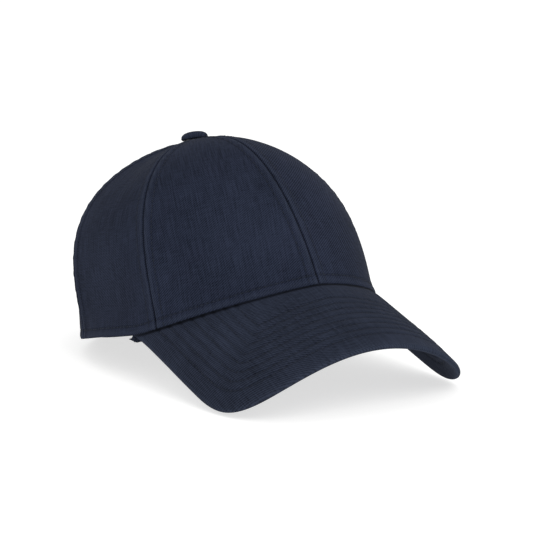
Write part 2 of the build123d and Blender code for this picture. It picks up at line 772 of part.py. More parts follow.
def standing_pitch():
    """Angle in radians that puts the brim's lowest corner level with the back of the hem."""
    bottom = rolled_edge(BRIM_THICKNESS / 2, -1)
    brim = [point for column in brim_grid(brim_shares(), bottom) for point in column]
    bearings = [math.radians(90 + i) for i in range(91)]
    hem = [crown_point(bearing, hem_height(bearing)) for bearing in bearings]
    hem = [point for point in hem if point.X > ARCH_WIDTH / 2]

    def lowest(points, pitch):
        return min(point.Z * math.cos(pitch) - point.Y * math.sin(pitch) for point in points)

    low, high = 0.0, math.radians(30)
    for _ in range(40):
        pitch = (low + high) / 2
        if lowest(brim, pitch) < lowest(hem, pitch):
            low = pitch
        else:
            high = pitch
    return low


def all_parts():
    """Every sub-part in the crown frame, by name."""
    parts = {}
    for side, mirror in (("left", 1), ("right", -1)):
        parts["crown_panel_front_" + side] = crown_panel(*sorted((0, mirror)))
        parts["crown_panel_side_" + side] = crown_panel(*sorted((mirror, 2 * mirror)))
        parts["crown_panel_back_" + side] = crown_panel(*sorted((2 * mirror, 3 * mirror)))
        parts["front_stiffener_" + side] = front_stiffener(*sorted((0, mirror)))
        parts["seam_tape_front_" + side] = seam_tape(mirror)
        parts["seam_tape_back_" + side] = seam_tape(2 * mirror)
    parts["seam_tape_front_centre"] = seam_tape(0)
    parts["seam_tape_back_centre"] = seam_tape(3)
    parts["sweatband"] = sweatband()
    parts["sweatband_padding"] = sweatband_padding()
    parts["arch_binding"] = arch_binding()
    parts["brim_top_cover"] = brim_cover(1)
    parts["brim_board"] = brim_board()
    parts["brim_under_cover"] = brim_cover(-1)
    parts["button_cover"] = button_cover()
    parts["button_shell"] = button_shell()
    parts["button_back_plate"] = button_back_plate()
    parts["button_rivet"] = button_rivet()
    parts["strap"] = strap()
    parts["buckle_frame"] = buckle_frame()
    parts["buckle_pin"] = buckle_pin()
    parts["buckle_lever"] = buckle_lever()
    parts["buckle_tab"] = buckle_tab()
    parts["size_label"] = label(140, LABEL_WIDTH)
    parts["care_label"] = label(-138, CARE_LABEL_WIDTH)
    return parts


def main():
    """Build every sub-part, stand the cap on its feet and write one file for each."""
    os.makedirs("parts", exist_ok=True)
    parts = all_parts()
    pitched = Rot(X=-math.degrees(standing_pitch()))
    box = Compound([pitched * part for part in parts.values()]).bounding_box()
    stance = Pos(-box.center().X, -box.center().Y, -box.min.Z) * pitched
    for name, part in parts.items():
        export_step(stance * part, "parts/" + name + ".step")
    centre, radius = strap_circle()
    axis = stance * Pos(0, centre, 0)
    hinge = stance * buckle_plane().location * Pos(PIN_OFFSET, 0, PIN_HEIGHT)
    print("pitch", math.degrees(standing_pitch()), "box", box.size)
    print("strap radius", radius, "travel degrees", math.degrees(STRAP_TRAVEL / radius))
    for name, place, ahead in (("strap", axis, Pos(0, 0, 1)), ("lever", hinge, Pos(0, 1, 0))):
        along = (place * ahead).position - place.position
        print(name, "pos", *[round(v, 4) for v in place.position], "axis", *[round(v, 6) for v in along])
    foot = stance * Pos(0, 0, 0)
    print("crown origin", *[round(v, 4) for v in foot.position])


main()
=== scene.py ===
"""A six-panel baseball cap in dark cotton twill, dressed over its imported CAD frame.

Lengths are millimetres in the crown frame, where the hem lies in the plane z = 0, the brim points to -Y
and bearings run from the front towards +X. Stance puts them in the row frame, in metres.
"""

import json
import logging
import math
from dataclasses import dataclass, field
from enum import Enum
from typing import Callable, ClassVar

import bmesh
import bpy
import numpy as np
from mathutils import Matrix, Quaternion, Vector

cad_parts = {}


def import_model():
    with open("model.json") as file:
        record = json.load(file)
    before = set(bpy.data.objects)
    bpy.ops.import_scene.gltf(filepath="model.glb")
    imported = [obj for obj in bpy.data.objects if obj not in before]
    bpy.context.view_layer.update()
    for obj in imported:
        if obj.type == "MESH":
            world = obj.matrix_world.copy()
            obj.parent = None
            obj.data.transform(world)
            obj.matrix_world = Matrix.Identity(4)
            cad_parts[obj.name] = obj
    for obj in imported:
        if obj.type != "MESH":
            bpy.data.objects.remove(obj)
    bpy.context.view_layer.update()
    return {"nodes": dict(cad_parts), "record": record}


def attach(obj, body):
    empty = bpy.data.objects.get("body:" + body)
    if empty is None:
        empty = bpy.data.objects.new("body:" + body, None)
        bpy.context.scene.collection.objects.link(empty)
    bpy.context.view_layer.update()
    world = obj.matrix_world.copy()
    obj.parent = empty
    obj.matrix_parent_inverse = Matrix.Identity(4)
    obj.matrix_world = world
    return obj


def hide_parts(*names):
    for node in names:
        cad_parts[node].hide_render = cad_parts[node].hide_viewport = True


Array = np.ndarray
Socket = bpy.types.NodeSocket
log = logging.getLogger("cap")

TAU = 2 * math.pi
HEM_RADIUS = 88.0  # mean radii of the hem and of the sweatband, for lengths along them
BAND_RADIUS = 80.0
BAND_TURNS = 20  # a wave texture of scale 1 turns this many radians in one unit
CLOTH_MAP = "cloth"
# vertex attribute: real wear above 0, painted shade below 0
WEAR_AND_SHADE = "wear_and_shade"
CAP_BODY = "cap"
STRAP_BODY = "strap"


# ---- small helpers ----


def ease(value: Array | float) -> Array:
    """Ease from 0 to 1 along a smooth step."""
    share = np.clip(value, 0.0, 1.0)
    return share * share * (3 - 2 * share)


def crest(value: Array, width: float) -> Array:
    """A soft ridge of height 1 at 0, about as wide as width each way."""
    return np.exp(-((value / width) ** 2))


def run_lengths(points: Array) -> Array:
    """Distance covered along each line of points.

    Args:
        points: Lines of points, with the points on the last axis but one.

    Returns:
        The length at each point, from 0.
    """
    steps = np.linalg.norm(np.diff(points, axis=-2), axis=-1)
    start = np.zeros(steps.shape[:-1] + (1,))
    return np.concatenate([start, np.cumsum(steps, axis=-1)], axis=-1)


def along_line(points: Array, lengths: Array, wanted: Array) -> Array:
    """Points of one line at the wanted lengths."""
    return np.stack([np.interp(wanted, lengths, part) for part in points.T], axis=-1)


def rounded_loop(share: Array, width: float, thickness: float, radius: float) -> tuple[Array, Array]:
    """Outline of a rounded rectangle.

    Args:
        share: Shares 0 to 1 of its length.
        width: Long side, on the first axis.
        thickness: Short side, on the second axis.
        radius: Corner radius.

    Returns:
        The two coordinates, about the rectangle's centre.
    """
    turns = np.linspace(0, math.pi / 2, 7)
    dense = []
    for quarter, (side, lift) in enumerate(((1, 1), (-1, 1), (-1, -1), (1, -1))):
        angles = turns + quarter * math.pi / 2
        across = side * (width / 2 - radius) + radius * np.cos(angles)
        high = lift * (thickness / 2 - radius) + radius * np.sin(angles)
        dense.append(np.stack([across, high], axis=-1))
    outline = np.concatenate(dense + [dense[0][:1]])
    lengths = run_lengths(outline)
    found = along_line(outline, lengths, share * lengths[-1])
    return found[:, 0], found[:, 1]


@dataclass(frozen=True)
class Stance:
    """How the crown frame stands in the row frame: pitched back about X, then shifted."""

    sine: float
    cosine: float
    shift: tuple[float, float, float]

    @classmethod
    def from_record(cls, record: dict) -> "Stance":
        """Read the stance from the head opening's mount."""
        opening = next(m for m in record["mounts"] if m["name"] == "head_opening")
        down = opening["axis"]
        return cls(-down[1], -down[2], tuple(opening["pos_m"]))

    def turn(self, directions: Array) -> Array:
        """Directions of the crown frame, in the row frame."""
        x, y, z = np.moveaxis(directions, -1, 0)
        return np.stack([x, self.cosine * y + self.sine * z, self.cosine * z - self.sine * y], axis=-1)

    def place(self, points: Array) -> Array:
        """Points in mm of the crown frame, in metres of the row frame."""
        return self.turn(points) / 1000 + np.array(self.shift)


# ---- forms shared with the CAD frame ----


@dataclass(frozen=True)
class CrownForm:
    """The crown's outer surface, its hem, its seams and the arch at the back."""

    half_width: float = 81.0
    reaches: tuple[float, float] = (102.0, 108.5)
    squareness: tuple[float, float] = (2.12, 2.32)
    height: float = 111.0
    waist: float = 16.5
    hem_pinch: tuple[float, float, float] = (0.051, -0.019, 0.035)
    rise_power: tuple[float, float, float] = (1.49, 3.29, 1.51)
    girth_power: tuple[float, float, float] = (2.92, 1.49, 2.67)
    flatness: tuple[float, float] = (0.39, 0.30)
    lean: float = 0.191
    top_tilt: float = 0.055
    hole_radius: float = 3.0
    brim_half_bearing: float = math.radians(75.2)
    arch_rise: float = 18.6
    arch_fullness: tuple[float, float] = (1.46, 1.44)
    back_dip: float = 2.0
    dip_bearing: float = math.radians(150.0)
    hem_bearings: tuple[float, ...] = (0.0, 61.0, 120.0, 180.0)
    top_bearings: tuple[float, ...] = (0.0, 60.0, 120.0, 180.0)
    fabric: float = 0.9
    opening_half_width: float = 39.0
    opening_height: float = 44.0
    opening_straight: float = 14.0

    def blend(self, bearing: Array, values: tuple[float, float, float]) -> Array:
        """Blend a front, a side and a back value around the crown."""
        front, side, back = values
        along = np.cos(bearing)
        return side + (np.where(along > 0, front, back) - side) * along * along

    def outline(self, bearing: Array) -> Array:
        """Plan radius at the waist."""
        along = np.cos(bearing)
        reach = np.where(along > 0, *self.reaches)
        power = np.where(along > 0, *self.squareness)
        across = np.abs(np.sin(bearing)) / self.half_width
        return (across**power + (np.abs(along) / reach) ** power) ** (-1 / power)

    def facet(self, bearing: Array) -> Array:
        """How far a flat panel lies inside the round outline."""
        sixth = math.pi / 3
        return math.cos(sixth / 2) / np.cos(bearing % sixth - sixth / 2)

    def point(self, bearing: Array, height: Array) -> Array:
        """Points of the outer surface."""
        rise = np.clip((height - self.waist) / (self.height - self.waist), 0, 1)
        below = np.clip((self.waist - height) / self.waist, 0, None)
        rising, closing = self.blend(bearing, self.rise_power), self.blend(bearing, self.girth_power)
        girth = (1 - rise**rising) ** (1 / closing)
        girth = girth - self.blend(bearing, self.hem_pinch) * below**2
        top, waist = self.flatness
        flatness = top * rise + waist * (1 - rise) * np.clip(height / self.waist, 0, 1)
        radius = self.outline(bearing) * girth * (1 - flatness + flatness * self.facet(bearing))
        back = -radius * np.cos(bearing)
        side = radius * np.sin(bearing)
        return np.stack([side, back + self.lean * height, height - self.top_tilt * back * rise], axis=-1)

    def normal(self, bearing: Array, height: Array) -> Array:
        """Outward unit normals of the outer surface."""
        turn = 0.01
        step = np.minimum(0.5, 0.2 * (self.height - height))
        around = self.point(bearing + turn, height) - self.point(bearing - turn, height)
        upwards = self.point(bearing, height + step) - self.point(bearing, height - step)
        across = np.cross(around, upwards)
        return across / np.linalg.norm(across, axis=-1, keepdims=True)

    def skin(self, bearing: Array, height: Array, depth: Array | float) -> Array:
        """Points a given depth inside the outer surface."""
        depth = np.broadcast_to(depth, np.shape(bearing))
        return self.point(bearing, height) - self.normal(bearing, height) * depth[..., None]

    def girth(self, bearing: Array, height: Array) -> Array:
        """Distance of the outer surface from the leaning axis."""
        found = self.point(bearing, height)
        return np.hypot(found[..., 0], found[..., 1] - self.lean * height)

    def height_at(self, bearing: Array, radius: float) -> Array:
        """Height near the top at which the crown has a given radius."""
        top = self.flatness[0]
        share = radius / (self.outline(bearing) * (1 - top + top * self.facet(bearing)))
        rising, closing = self.blend(bearing, self.rise_power), self.blend(bearing, self.girth_power)
        rise = (1 - share**closing) ** (1 / rising)
        return self.waist + (self.height - self.waist) * rise

    def hem(self, bearing: Array) -> Array:
        """Height of the lower edge, which arches over the brim and dips behind."""
        across = np.minimum(np.abs(bearing) / self.brim_half_bearing, 1.0)
        reach, top = self.arch_fullness
        behind = (np.abs(bearing) - self.brim_half_bearing) / (self.dip_bearing - self.brim_half_bearing)
        return self.arch_rise * (1 - across**reach) ** top - self.back_dip * ease(behind)

    def seam(self, seam: int, height: Array) -> Array:
        """Bearing of seam -3 to 3 at each height."""
        share = np.clip(np.asarray(height) / self.height, 0, 1)
        hem, top = self.hem_bearings[abs(seam)], self.top_bearings[abs(seam)]
        return math.copysign(1, seam) * np.radians(hem + (top - hem) * share)

    def opening_half(self, height: Array, grow: float = 0.0) -> Array:
        """Half width of the back opening at each height, made larger all round by grow."""
        half = self.opening_half_width + grow
        top = self.opening_height - self.opening_straight + grow
        above = np.clip((height - self.opening_straight) / top, 0, 1)
        return half * np.sqrt(1 - above * above)

    def opening_bearing(self, height: Array, depth: float = 0.0, grow: float = 0.0) -> Array:
        """Bearing of the back opening's left edge at each height."""
        half = self.opening_half(height, grow)
        bearing = np.full(np.shape(height), math.radians(160.0))
        for _ in range(8):
            radius = self.girth(bearing, height) - depth
            bearing = math.pi - np.arcsin(np.clip(half / radius, 0, 0.9))
        return bearing

    def behind(self, x: Array, z: Array) -> tuple[Array, Array]:
        """Bearing and height of the back surface at a place seen from behind."""
        bearing, height = math.pi - np.arcsin(x / self.reaches[1]), z + 0.0
        for _ in range(14):
            found = self.point(bearing, height)
            radius = np.hypot(found[..., 0], found[..., 1] - self.lean * height)
            bearing = math.pi - np.arcsin(np.clip(x / radius, -0.9, 0.9))
            height = height + z - found[..., 2]
        return bearing, height

    def seam_field(self, bearing: Array, height: Array) -> tuple[Array, Array, Array]:
        """Distance to the nearest seam, its number, and the length along it.

        Args:
            bearing: Bearings.
            height: Heights.

        Returns:
            Distances in mm, seam numbers 0 to 3, and lengths in mm.
        """
        turned = np.abs((bearing + math.pi) % TAU - math.pi)
        gaps = np.stack([np.abs(turned - self.seam(seam, height)) for seam in range(4)])
        number = np.argmin(gaps, axis=0)
        distance = np.min(gaps, axis=0) * self.girth(bearing, height)
        length = np.zeros(np.shape(height))
        heights = np.sin(np.linspace(0, math.pi / 2, 181)) * (self.height - 0.05)
        for seam in range(4):
            line = self.point(self.seam(seam, heights), heights)
            length = np.where(number == seam, np.interp(height, heights, run_lengths(line)), length)
        return distance, number, length

    def stations(self, bearing_at: Callable[[Array, Array], Array], low: Array, high: Array,
                 share: Array, climb: Array) -> tuple[Array, Array, Array]:
        """Spread rows evenly along the meridians of a piece.

        Args:
            bearing_at: Gives bearings from shares across the piece and heights.
            low: Lowest height of each distinct share, in order.
            high: Highest height of each distinct share, in order.
            share: Share across the piece, 0 to 1, of every grid point.
            climb: Share up the piece, 0 to 1, of every grid point.

        Returns:
            Bearing, height and length from the lower edge of every grid point.
        """
        columns, column = np.unique(share, return_inverse=True)
        rows, row = np.unique(climb, return_inverse=True)
        quarter = np.sin(np.linspace(0, math.pi / 2, 241))
        heights = low[:, None] + (high - low)[:, None] * quarter
        spread = np.broadcast_to(columns[:, None], heights.shape)
        lengths = run_lengths(self.point(bearing_at(spread, heights), heights))
        table = np.array([np.interp(rows * run[-1], run, line) for run, line in zip(lengths, heights)])
        height = table[column, row]
        return bearing_at(share, height), height, rows[row] * lengths[column, -1]


@dataclass
class BrimForm:
    """The brim's upper surface as a table of points, normals and distances to its edge."""

    crown: CrownForm
    reach: float = 55.7
    side_flare: float = -0.2
    widest_setback: float = 66.0
    root_handle: float = 5.6
    side_handle: float = 38.0
    front_handle: float = 67.0
    root_turn: float = math.radians(-5.0)
    bend_radius: float = 86.5
    bend_limit: float = math.radians(64.6)
    slope: float = 0.54
    sheet_drop: float = 5.7
    root_blend: float = 15.0
    camber: float = 2.8
    thickness: float = 3.5
    tuck: float = 3.4
    root_gap: float = 0.15
    shares: Array = field(init=False)
    lengths: Array = field(init=False)
    points: Array = field(init=False)
    normals: Array = field(init=False)
    edge_distance: Array = field(init=False)

    def __post_init__(self) -> None:
        """Work out the tables."""
        self.shares = np.linspace(-1, 1, 321)
        columns = self._columns(self.shares)
        runs = run_lengths(columns)
        self.lengths = runs[:, -1]
        steps = np.linspace(0, 1, 161)
        self.points = np.array([along_line(c, run, steps * run[-1]) for c, run in zip(columns, runs)])
        across = np.gradient(self.points, axis=0)
        outwards = np.gradient(self.points, axis=1)
        normals = np.cross(outwards, across)
        normals *= np.sign(normals[..., 2:])
        self.normals = normals / np.linalg.norm(normals, axis=-1, keepdims=True)
        rim = self.points[:, -1]
        gaps = [np.linalg.norm(self.points - place, axis=-1) for place in rim]
        self.edge_distance = np.min(gaps, axis=0)

    def root(self, share: Array) -> Array:
        """The brim's root, just under the hem."""
        bearing = share * self.crown.brim_half_bearing
        return self.crown.point(bearing, self.crown.hem(bearing)) - np.array([0, 0, self.root_gap])

    def _outline(self, share: Array) -> Array:
        """Plan of the outer edge."""
        corner = self.root(np.array([1.0]))[0]
        front_y = self.root(np.array([0.0]))[0, 1] - self.reach
        front = np.array([0, front_y])
        widest = np.array([corner[0] + self.side_flare, front_y + self.widest_setback])
        root = corner[:2]
        turn = np.array([math.sin(self.root_turn), -math.cos(self.root_turn)]) * self.root_handle
        bows = (
            (front, front + [self.front_handle, 0], widest - [0, self.side_handle], widest),
            (widest, widest + [0, self.root_handle], root + turn, root),
        )
        runs = []
        for a, b, c, d in bows:
            t = np.linspace(0, 1, 61)[:, None]
            s = 1 - t
            runs.append(a * s**3 + b * 3 * t * s * s + c * 3 * t * t * s + d * t**3)
        half = np.concatenate([runs[0][:-1], runs[1]])
        lengths = run_lengths(half)
        found = along_line(half, lengths, np.abs(share) * lengths[-1])
        return found * np.stack([np.sign(share), np.ones_like(share)], axis=-1)

    def _sheet(self, side: Array, back: Array) -> Array:
        """Height of the bent sheet over its plan."""
        front = self.root(np.array([0.0]))[0]
        limit = self.bend_radius * math.sin(self.bend_limit)
        arc = self.bend_radius - np.sqrt(self.bend_radius**2 - np.minimum(np.abs(side), limit) ** 2)
        bend = arc + np.maximum(np.abs(side) - limit, 0) * math.tan(self.bend_limit)
        return front[2] - self.sheet_drop - self.slope * (front[1] - back) - bend

    def _columns(self, share: Array) -> Array:
        """Fine points from the tuck to the outer edge for each share."""
        root, rim = self.root(share), self._outline(share)
        bearing = share * self.crown.brim_half_bearing
        tuck = self.crown.skin(bearing, self.crown.hem(bearing), self.tuck)
        tuck[:, 2] = root[:, 2]
        across = np.linspace(0, 1, 81)
        plan = root[:, None, :2] + (rim - root[:, :2])[:, None] * across[:, None]
        away = np.linalg.norm(plan - root[:, None, :2], axis=-1)
        lift = (root[:, 2] - self._sheet(root[:, 0], root[:, 1]))[:, None]
        height = self._sheet(plan[..., 0], plan[..., 1]) + lift * np.exp(-((away / self.root_blend) ** 2))
        height += self.camber * 4 * across * (1 - across) * (1 - share * share)[:, None]
        surface = np.concatenate([plan, height[..., None]], axis=-1)
        return np.concatenate([tuck[:, None], surface], axis=1)

    def sample(self, share: Array, distance: Array) -> tuple[Array, Array, Array]:
        """Read the tables.

        Args:
            share: Shares -1 to 1 across the brim.
            distance: Distances from the tucked edge.

        Returns:
            Points, unit normals and distances to the outer edge.
        """
        length = np.interp(share, self.shares, self.lengths)
        column = (np.clip(share, -1, 1) + 1) / 2 * (len(self.shares) - 1)
        row = np.clip(distance / length, 0, 1) * (self.points.shape[1] - 1)
        i = np.minimum(column.astype(int), len(self.shares) - 2)
        j = np.minimum(row.astype(int), self.points.shape[1] - 2)
        a, b = (column - i)[:, None], (row - j)[:, None]
        found = []
        for table in (self.points, self.normals, self.edge_distance[..., None]):
            low = table[i, j] * (1 - a) + table[i + 1, j] * a
            high = table[i, j + 1] * (1 - a) + table[i + 1, j + 1] * a
            found.append(low * (1 - b) + high * b)
        normals = found[1] / np.linalg.norm(found[1], axis=-1, keepdims=True)
        return found[0], normals, found[2][:, 0]

    def parallel_row(self, inset: float) -> tuple[Array, Array]:
        """A line a fixed distance inside the outer edge, as shares and distances from the tuck."""
        shares, distances = [], []
        for share, length, gaps in zip(self.shares, self.lengths, self.edge_distance):
            steps = np.linspace(0, length, len(gaps))
            if np.interp(self.tuck + 1.5, steps, gaps) > inset:
                shares.append(share)
                distances.append(np.interp(-inset, -gaps, steps))
        return np.array(shares), np.array(distances)

    def cloth(self, points: Array) -> Array:
        """Cloth coordinates: arc length across the bend, and length along the slope."""
        limit = self.bend_radius * math.sin(self.bend_limit)
        side = np.abs(points[:, 0])
        arc = self.bend_radius * np.arcsin(np.minimum(side, limit) / self.bend_radius)
        arc = arc + np.maximum(side - limit, 0) / math.cos(self.bend_limit)
        return np.stack([np.sign(points[:, 0]) * arc, -points[:, 1] * math.hypot(1, self.slope)], axis=-1)


@dataclass(frozen=True)
class StrapForm:
    """The round frame in which the strap slides behind the head."""

    crown: CrownForm
    width: float = 18.0
    thickness: float = 1.4
    hem_gap: float = 3.0
    clearance: float = 3.5
    flare: float = 0.12
    travel: float = 12.0
    cover: float = 8.0

    @property
    def middle(self) -> float:
        """Height of the strap's middle line."""
        return self.hem_gap + self.width / 2

    @property
    def circle(self) -> tuple[float, float]:
        """Centre, as a Y coordinate, and radius of the middle surface."""
        inside = self.crown.fabric + self.clearance + self.thickness / 2
        bearings = np.array([math.pi, math.radians(133)])
        back, flank = self.crown.skin(bearings, np.full(2, self.middle), inside)
        drop = back[1] - flank[1]
        radius = (flank[0] ** 2 + drop**2) / (2 * drop)
        return back[1] - radius, radius

    @property
    def half_length(self) -> float:
        """Arc length from the middle to either hidden end."""
        radius = self.circle[1]
        return radius * math.asin(self.crown.opening_half_width / radius) + self.travel + self.cover

    def point(self, offset: Array, length: Array, height: Array) -> Array:
        """Points at an offset from the middle surface, a length along it and a height."""
        centre, radius = self.circle
        angle = length / radius
        out = radius + offset + self.flare * height
        return np.stack([out * np.sin(angle), centre + out * np.cos(angle), self.middle + height], axis=-1)


# ---- finishes ----


class Ink(Enum):
    """Colours as sRGB hex."""

    TWILL_DEEP = "05080f"
    TWILL_FACE = "2e3446"
    TWILL_WORN = "3a4150"
    BRIM_DEEP = "07090f"
    BRIM_FACE = "303646"
    THREAD = "161a24"
    COTTON_DEEP = "15171d"
    COTTON_FACE = "262a35"
    TAPE_DEEP = "191c25"
    TAPE_FACE = "2a2e3a"
    BUCKRAM_DEEP = "8c8a82"
    BUCKRAM_FACE = "c9c6bb"
    FOAM = "3a3a3d"
    PLASTIC = "1a1a1c"
    NICKEL = "b9b6ae"
    NICKEL_WORN = "8d8a84"
    STEEL = "9c9b98"
    SATIN_DEEP = "a9a9a6"
    SATIN_FACE = "d8d7d2"
    FLOOR = "bcbcbb"
    GLOW = "ffffff"


def linear(ink: Ink) -> tuple[float, float, float, float]:
    """The linear colour of an sRGB hex value."""
    parts = [int(ink.value[i : i + 2], 16) / 255 for i in (0, 2, 4)]
    made = [p / 12.92 if p <= 0.04045 else ((p + 0.055) / 1.055) ** 2.4 for p in parts]
    return (*made, 1.0)


def add_node(
    tree: bpy.types.NodeTree, kind: str, inputs: dict | None = None, **settings: object
) -> bpy.types.Node:
    """Add a node with its settings and links.

    Args:
        tree: Node tree it joins.
        kind: Node type.
        inputs: Values or output sockets, by input name or number.
        settings: Properties of the node itself.

    Returns:
        The node.
    """
    made = tree.nodes.new(kind)
    for key, value in settings.items():
        setattr(made, key, value)
    for key, value in (inputs or {}).items():
        if isinstance(value, bpy.types.NodeSocket):
            tree.links.new(value, made.inputs[key])
        else:
            made.inputs[key].default_value = value
    return made


class Recipe:
    """A material in the making, with short names for the nodes that the finishes share."""

    def __init__(self, name: str) -> None:
        """Start an empty material with one principled shader."""
        self.material = bpy.data.materials.new(name)
        self.material.use_nodes = True
        self.tree = self.material.node_tree

    def node(self, kind: str, inputs: dict | None = None, out: int | str = 0, **settings: object) -> Socket:
        """Add a node and give one of its outputs."""
        return add_node(self.tree, "ShaderNode" + kind, inputs, **settings).outputs[out]

    def body(self) -> Socket:
        """Places on the piece, in metres."""
        return self.node("TexCoord", out="Object")

    def cloth(self) -> Socket:
        """Places on the flat cloth, in mm."""
        return self.scaled(self.node("UVMap", uv_map=CLOTH_MAP), 1000, 1000, 1000)

    def scaled(self, where: Socket, x: float, y: float, z: float) -> Socket:
        """Places scaled along each axis."""
        return self.node("Mapping", {0: where, "Scale": (x, y, z)})

    def noise(self, where: Socket, scale: float = 1.0, detail: float = 2.0, rough: float = 0.5) -> Socket:
        """Soft random shades."""
        return self.node("TexNoise", {0: where, "Scale": scale, "Detail": detail, "Roughness": rough})

    def waves(
        self, where: Socket, spacing: float, bend: float, inputs: dict | None = None, **settings: object
    ) -> Socket:
        """Parallel bands at a spacing in the units of the places."""
        values = {0: where, "Scale": TAU / BAND_TURNS / spacing, "Distortion": bend, **(inputs or {})}
        return self.node("TexWave", values, "Fac", **settings)

    def sum(self, operation: str, *parts: Socket | float) -> Socket:
        """A sum worked out from sockets and numbers."""
        return self.node("Math", dict(enumerate(parts)), operation=operation)

    def blend(self, share: Socket, low: Socket | Ink, high: Ink) -> Socket:
        """One colour passing into another."""
        start = linear(low) if isinstance(low, Ink) else low
        return self.node("Mix", {0: share, 6: start, 7: linear(high)}, 2, data_type="RGBA")

    def bump(self, height: Socket, strength: float, depth: float) -> Socket:
        """A rough surface with a depth in mm."""
        return self.node("Bump", {"Height": height, "Strength": strength, "Distance": depth / 1000})

    def finish(self, inputs: dict[str, Socket | float | tuple]) -> bpy.types.Material:
        """Set the shader's inputs and give the material."""
        shader = self.tree.nodes["Principled BSDF"]
        for key, value in inputs.items():
            if isinstance(value, bpy.types.NodeSocket):
                self.tree.links.new(value, shader.inputs[key])
            else:
                shader.inputs[key].default_value = value
        return self.material


@dataclass(frozen=True)
class WovenCloth:
    """Cotton woven in ribs: it scatters light softly, with a faint sheen from its fibre ends."""

    name: str
    deep: Ink
    face: Ink
    worn: Ink = Ink.TWILL_WORN
    rib: float = 1.15  # real twill ribs are 0.5 mm apart, drawn coarser so that they show
    rib_angle: float = math.radians(58)
    slub: tuple[float, float] = (0.8, 16.0)  # width and length of thick places in the yarn
    middle: float = 0.72  # the mean of the summed shades, and how far they spread about it
    span: float = 0.62
    relief: float = 0.22
    roughness: float = 0.92
    sheen: float = 0.012

    def make(self) -> bpy.types.Material:
        """Build the material."""
        mix = Recipe(self.name)
        cloth, body = mix.cloth(), mix.body()
        turned = mix.node("Mapping", {0: cloth, "Rotation": (0, 0, self.rib_angle)})
        ribs = mix.waves(turned, self.rib, 1.1, {"Detail": 1.0, "Detail Scale": 1.6})
        width, length = self.slub
        slubs = mix.noise(mix.scaled(cloth, 1 / width, 1 / length, 1), detail=3.0, rough=0.6)
        picks = mix.noise(mix.scaled(cloth, 1 / (length * 0.6), 1 / width, 1))
        shade = mix.sum("MULTIPLY_ADD", slubs, 0.62, -0.1)
        for part, share in ((picks, 0.3), (ribs, 0.34), (mix.noise(body, 1600.0, 1.0), 0.18)):
            shade = mix.sum("MULTIPLY_ADD", part, share, shade)
        cast = mix.sum("MULTIPLY_ADD", mix.noise(body, 22.0), 0.3, shade)
        low, high = self.middle - self.span / 2, self.middle + self.span / 2
        dyed = mix.blend(mix.node("MapRange", {0: cast, 1: low, 2: high}), self.deep, self.face)
        # The vertex attribute holds real wear above 0, which fades the dye towards the worn colour, and painted
        # shade below 0.
        rubbed = mix.node("Attribute", out="Fac", attribute_name=WEAR_AND_SHADE)
        faded = mix.blend(mix.sum("MULTIPLY", rubbed, slubs), dyed, self.worn)
        return mix.finish(
            {
                # painted shade: where the attribute is below 0, the colour is darkened towards the deep dye
                "Base Color": mix.blend(mix.sum("MULTIPLY", rubbed, -1.0), faded, self.deep),
                "Normal": mix.bump(shade, 0.75, self.relief),
                "Roughness": self.roughness,
                "Specular IOR Level": 0.04,
                "Sheen Weight": self.sheen,
                "Sheen Roughness": 0.45,
            }
        )


@dataclass(frozen=True)
class TwistedThread:
    """Spun polyester sewing thread: a little smoother than the cloth, with a fine diagonal twist."""

    name: str
    ink: Ink
    twist: float = 0.5

    def make(self) -> bpy.types.Material:
        """Build the material."""
        mix = Recipe(self.name)
        plies = mix.waves(mix.body(), self.twist / 1000, 0.6, bands_direction="DIAGONAL")
        shade = mix.sum("MULTIPLY", mix.noise(mix.body(), 120.0), plies)
        colour = mix.blend(shade, self.ink, Ink.TWILL_WORN)
        return mix.finish({"Base Color": colour, "Roughness": 0.75, "Specular IOR Level": 0.15})


@dataclass(frozen=True)
class OpenGauze:
    """Buckram, a stiffened open gauze: crossed ribs with darker gaps between them."""

    name: str
    deep: Ink
    face: Ink
    mesh: float = 1.6  # real gauze has about 1 mm between yarns, drawn coarser so that it shows

    def make(self) -> bpy.types.Material:
        """Build the material."""
        mix = Recipe(self.name)
        yarns = [mix.waves(mix.cloth(), self.mesh, 0.5, bands_direction=way) for way in ("X", "Y")]
        net = mix.sum("MAXIMUM", *yarns)
        stained = mix.sum("MULTIPLY", net, mix.noise(mix.body(), 45.0, 3.0))
        colour = mix.blend(stained, self.deep, self.face)
        return mix.finish({"Base Color": colour, "Normal": mix.bump(net, 0.8, 0.3), "Roughness": 0.8})


@dataclass(frozen=True)
class StampedMetal:
    """Plated sheet metal, stamped and tumbled: satin with fine random scratches and duller patches."""

    name: str
    face: Ink
    worn: Ink
    roughness: tuple[float, float] = (0.26, 0.48)

    def make(self) -> bpy.types.Material:
        """Build the material."""
        mix = Recipe(self.name)
        patches = mix.noise(mix.body(), 260.0, 4.0)
        scratches = mix.noise(mix.scaled(mix.body(), 900, 900, 9000))
        low, high = self.roughness
        return mix.finish(
            {
                "Base Color": mix.blend(patches, self.face, self.worn),
                "Roughness": mix.node("MapRange", {0: patches, 1: 0.3, 2: 0.7, 3: low, 4: high}),
                "Normal": mix.bump(scratches, 0.25, 0.04),
                "Metallic": 1.0,
            }
        )


@dataclass(frozen=True)
class GrainedSolid:
    """A moulded or foamed solid with a fine grain in its surface."""

    name: str
    ink: Ink
    light: Ink
    grain: float
    roughness: float
    relief: float

    def make(self) -> bpy.types.Material:
        """Build the material."""
        mix = Recipe(self.name)
        cells = mix.node("TexVoronoi", {0: mix.body(), "Scale": 1000 / self.grain})
        colour = mix.blend(mix.noise(mix.body(), 70.0, 3.0), self.ink, self.light)
        bump = mix.bump(cells, 0.5, self.relief)
        return mix.finish({"Base Color": colour, "Normal": bump, "Roughness": self.roughness})


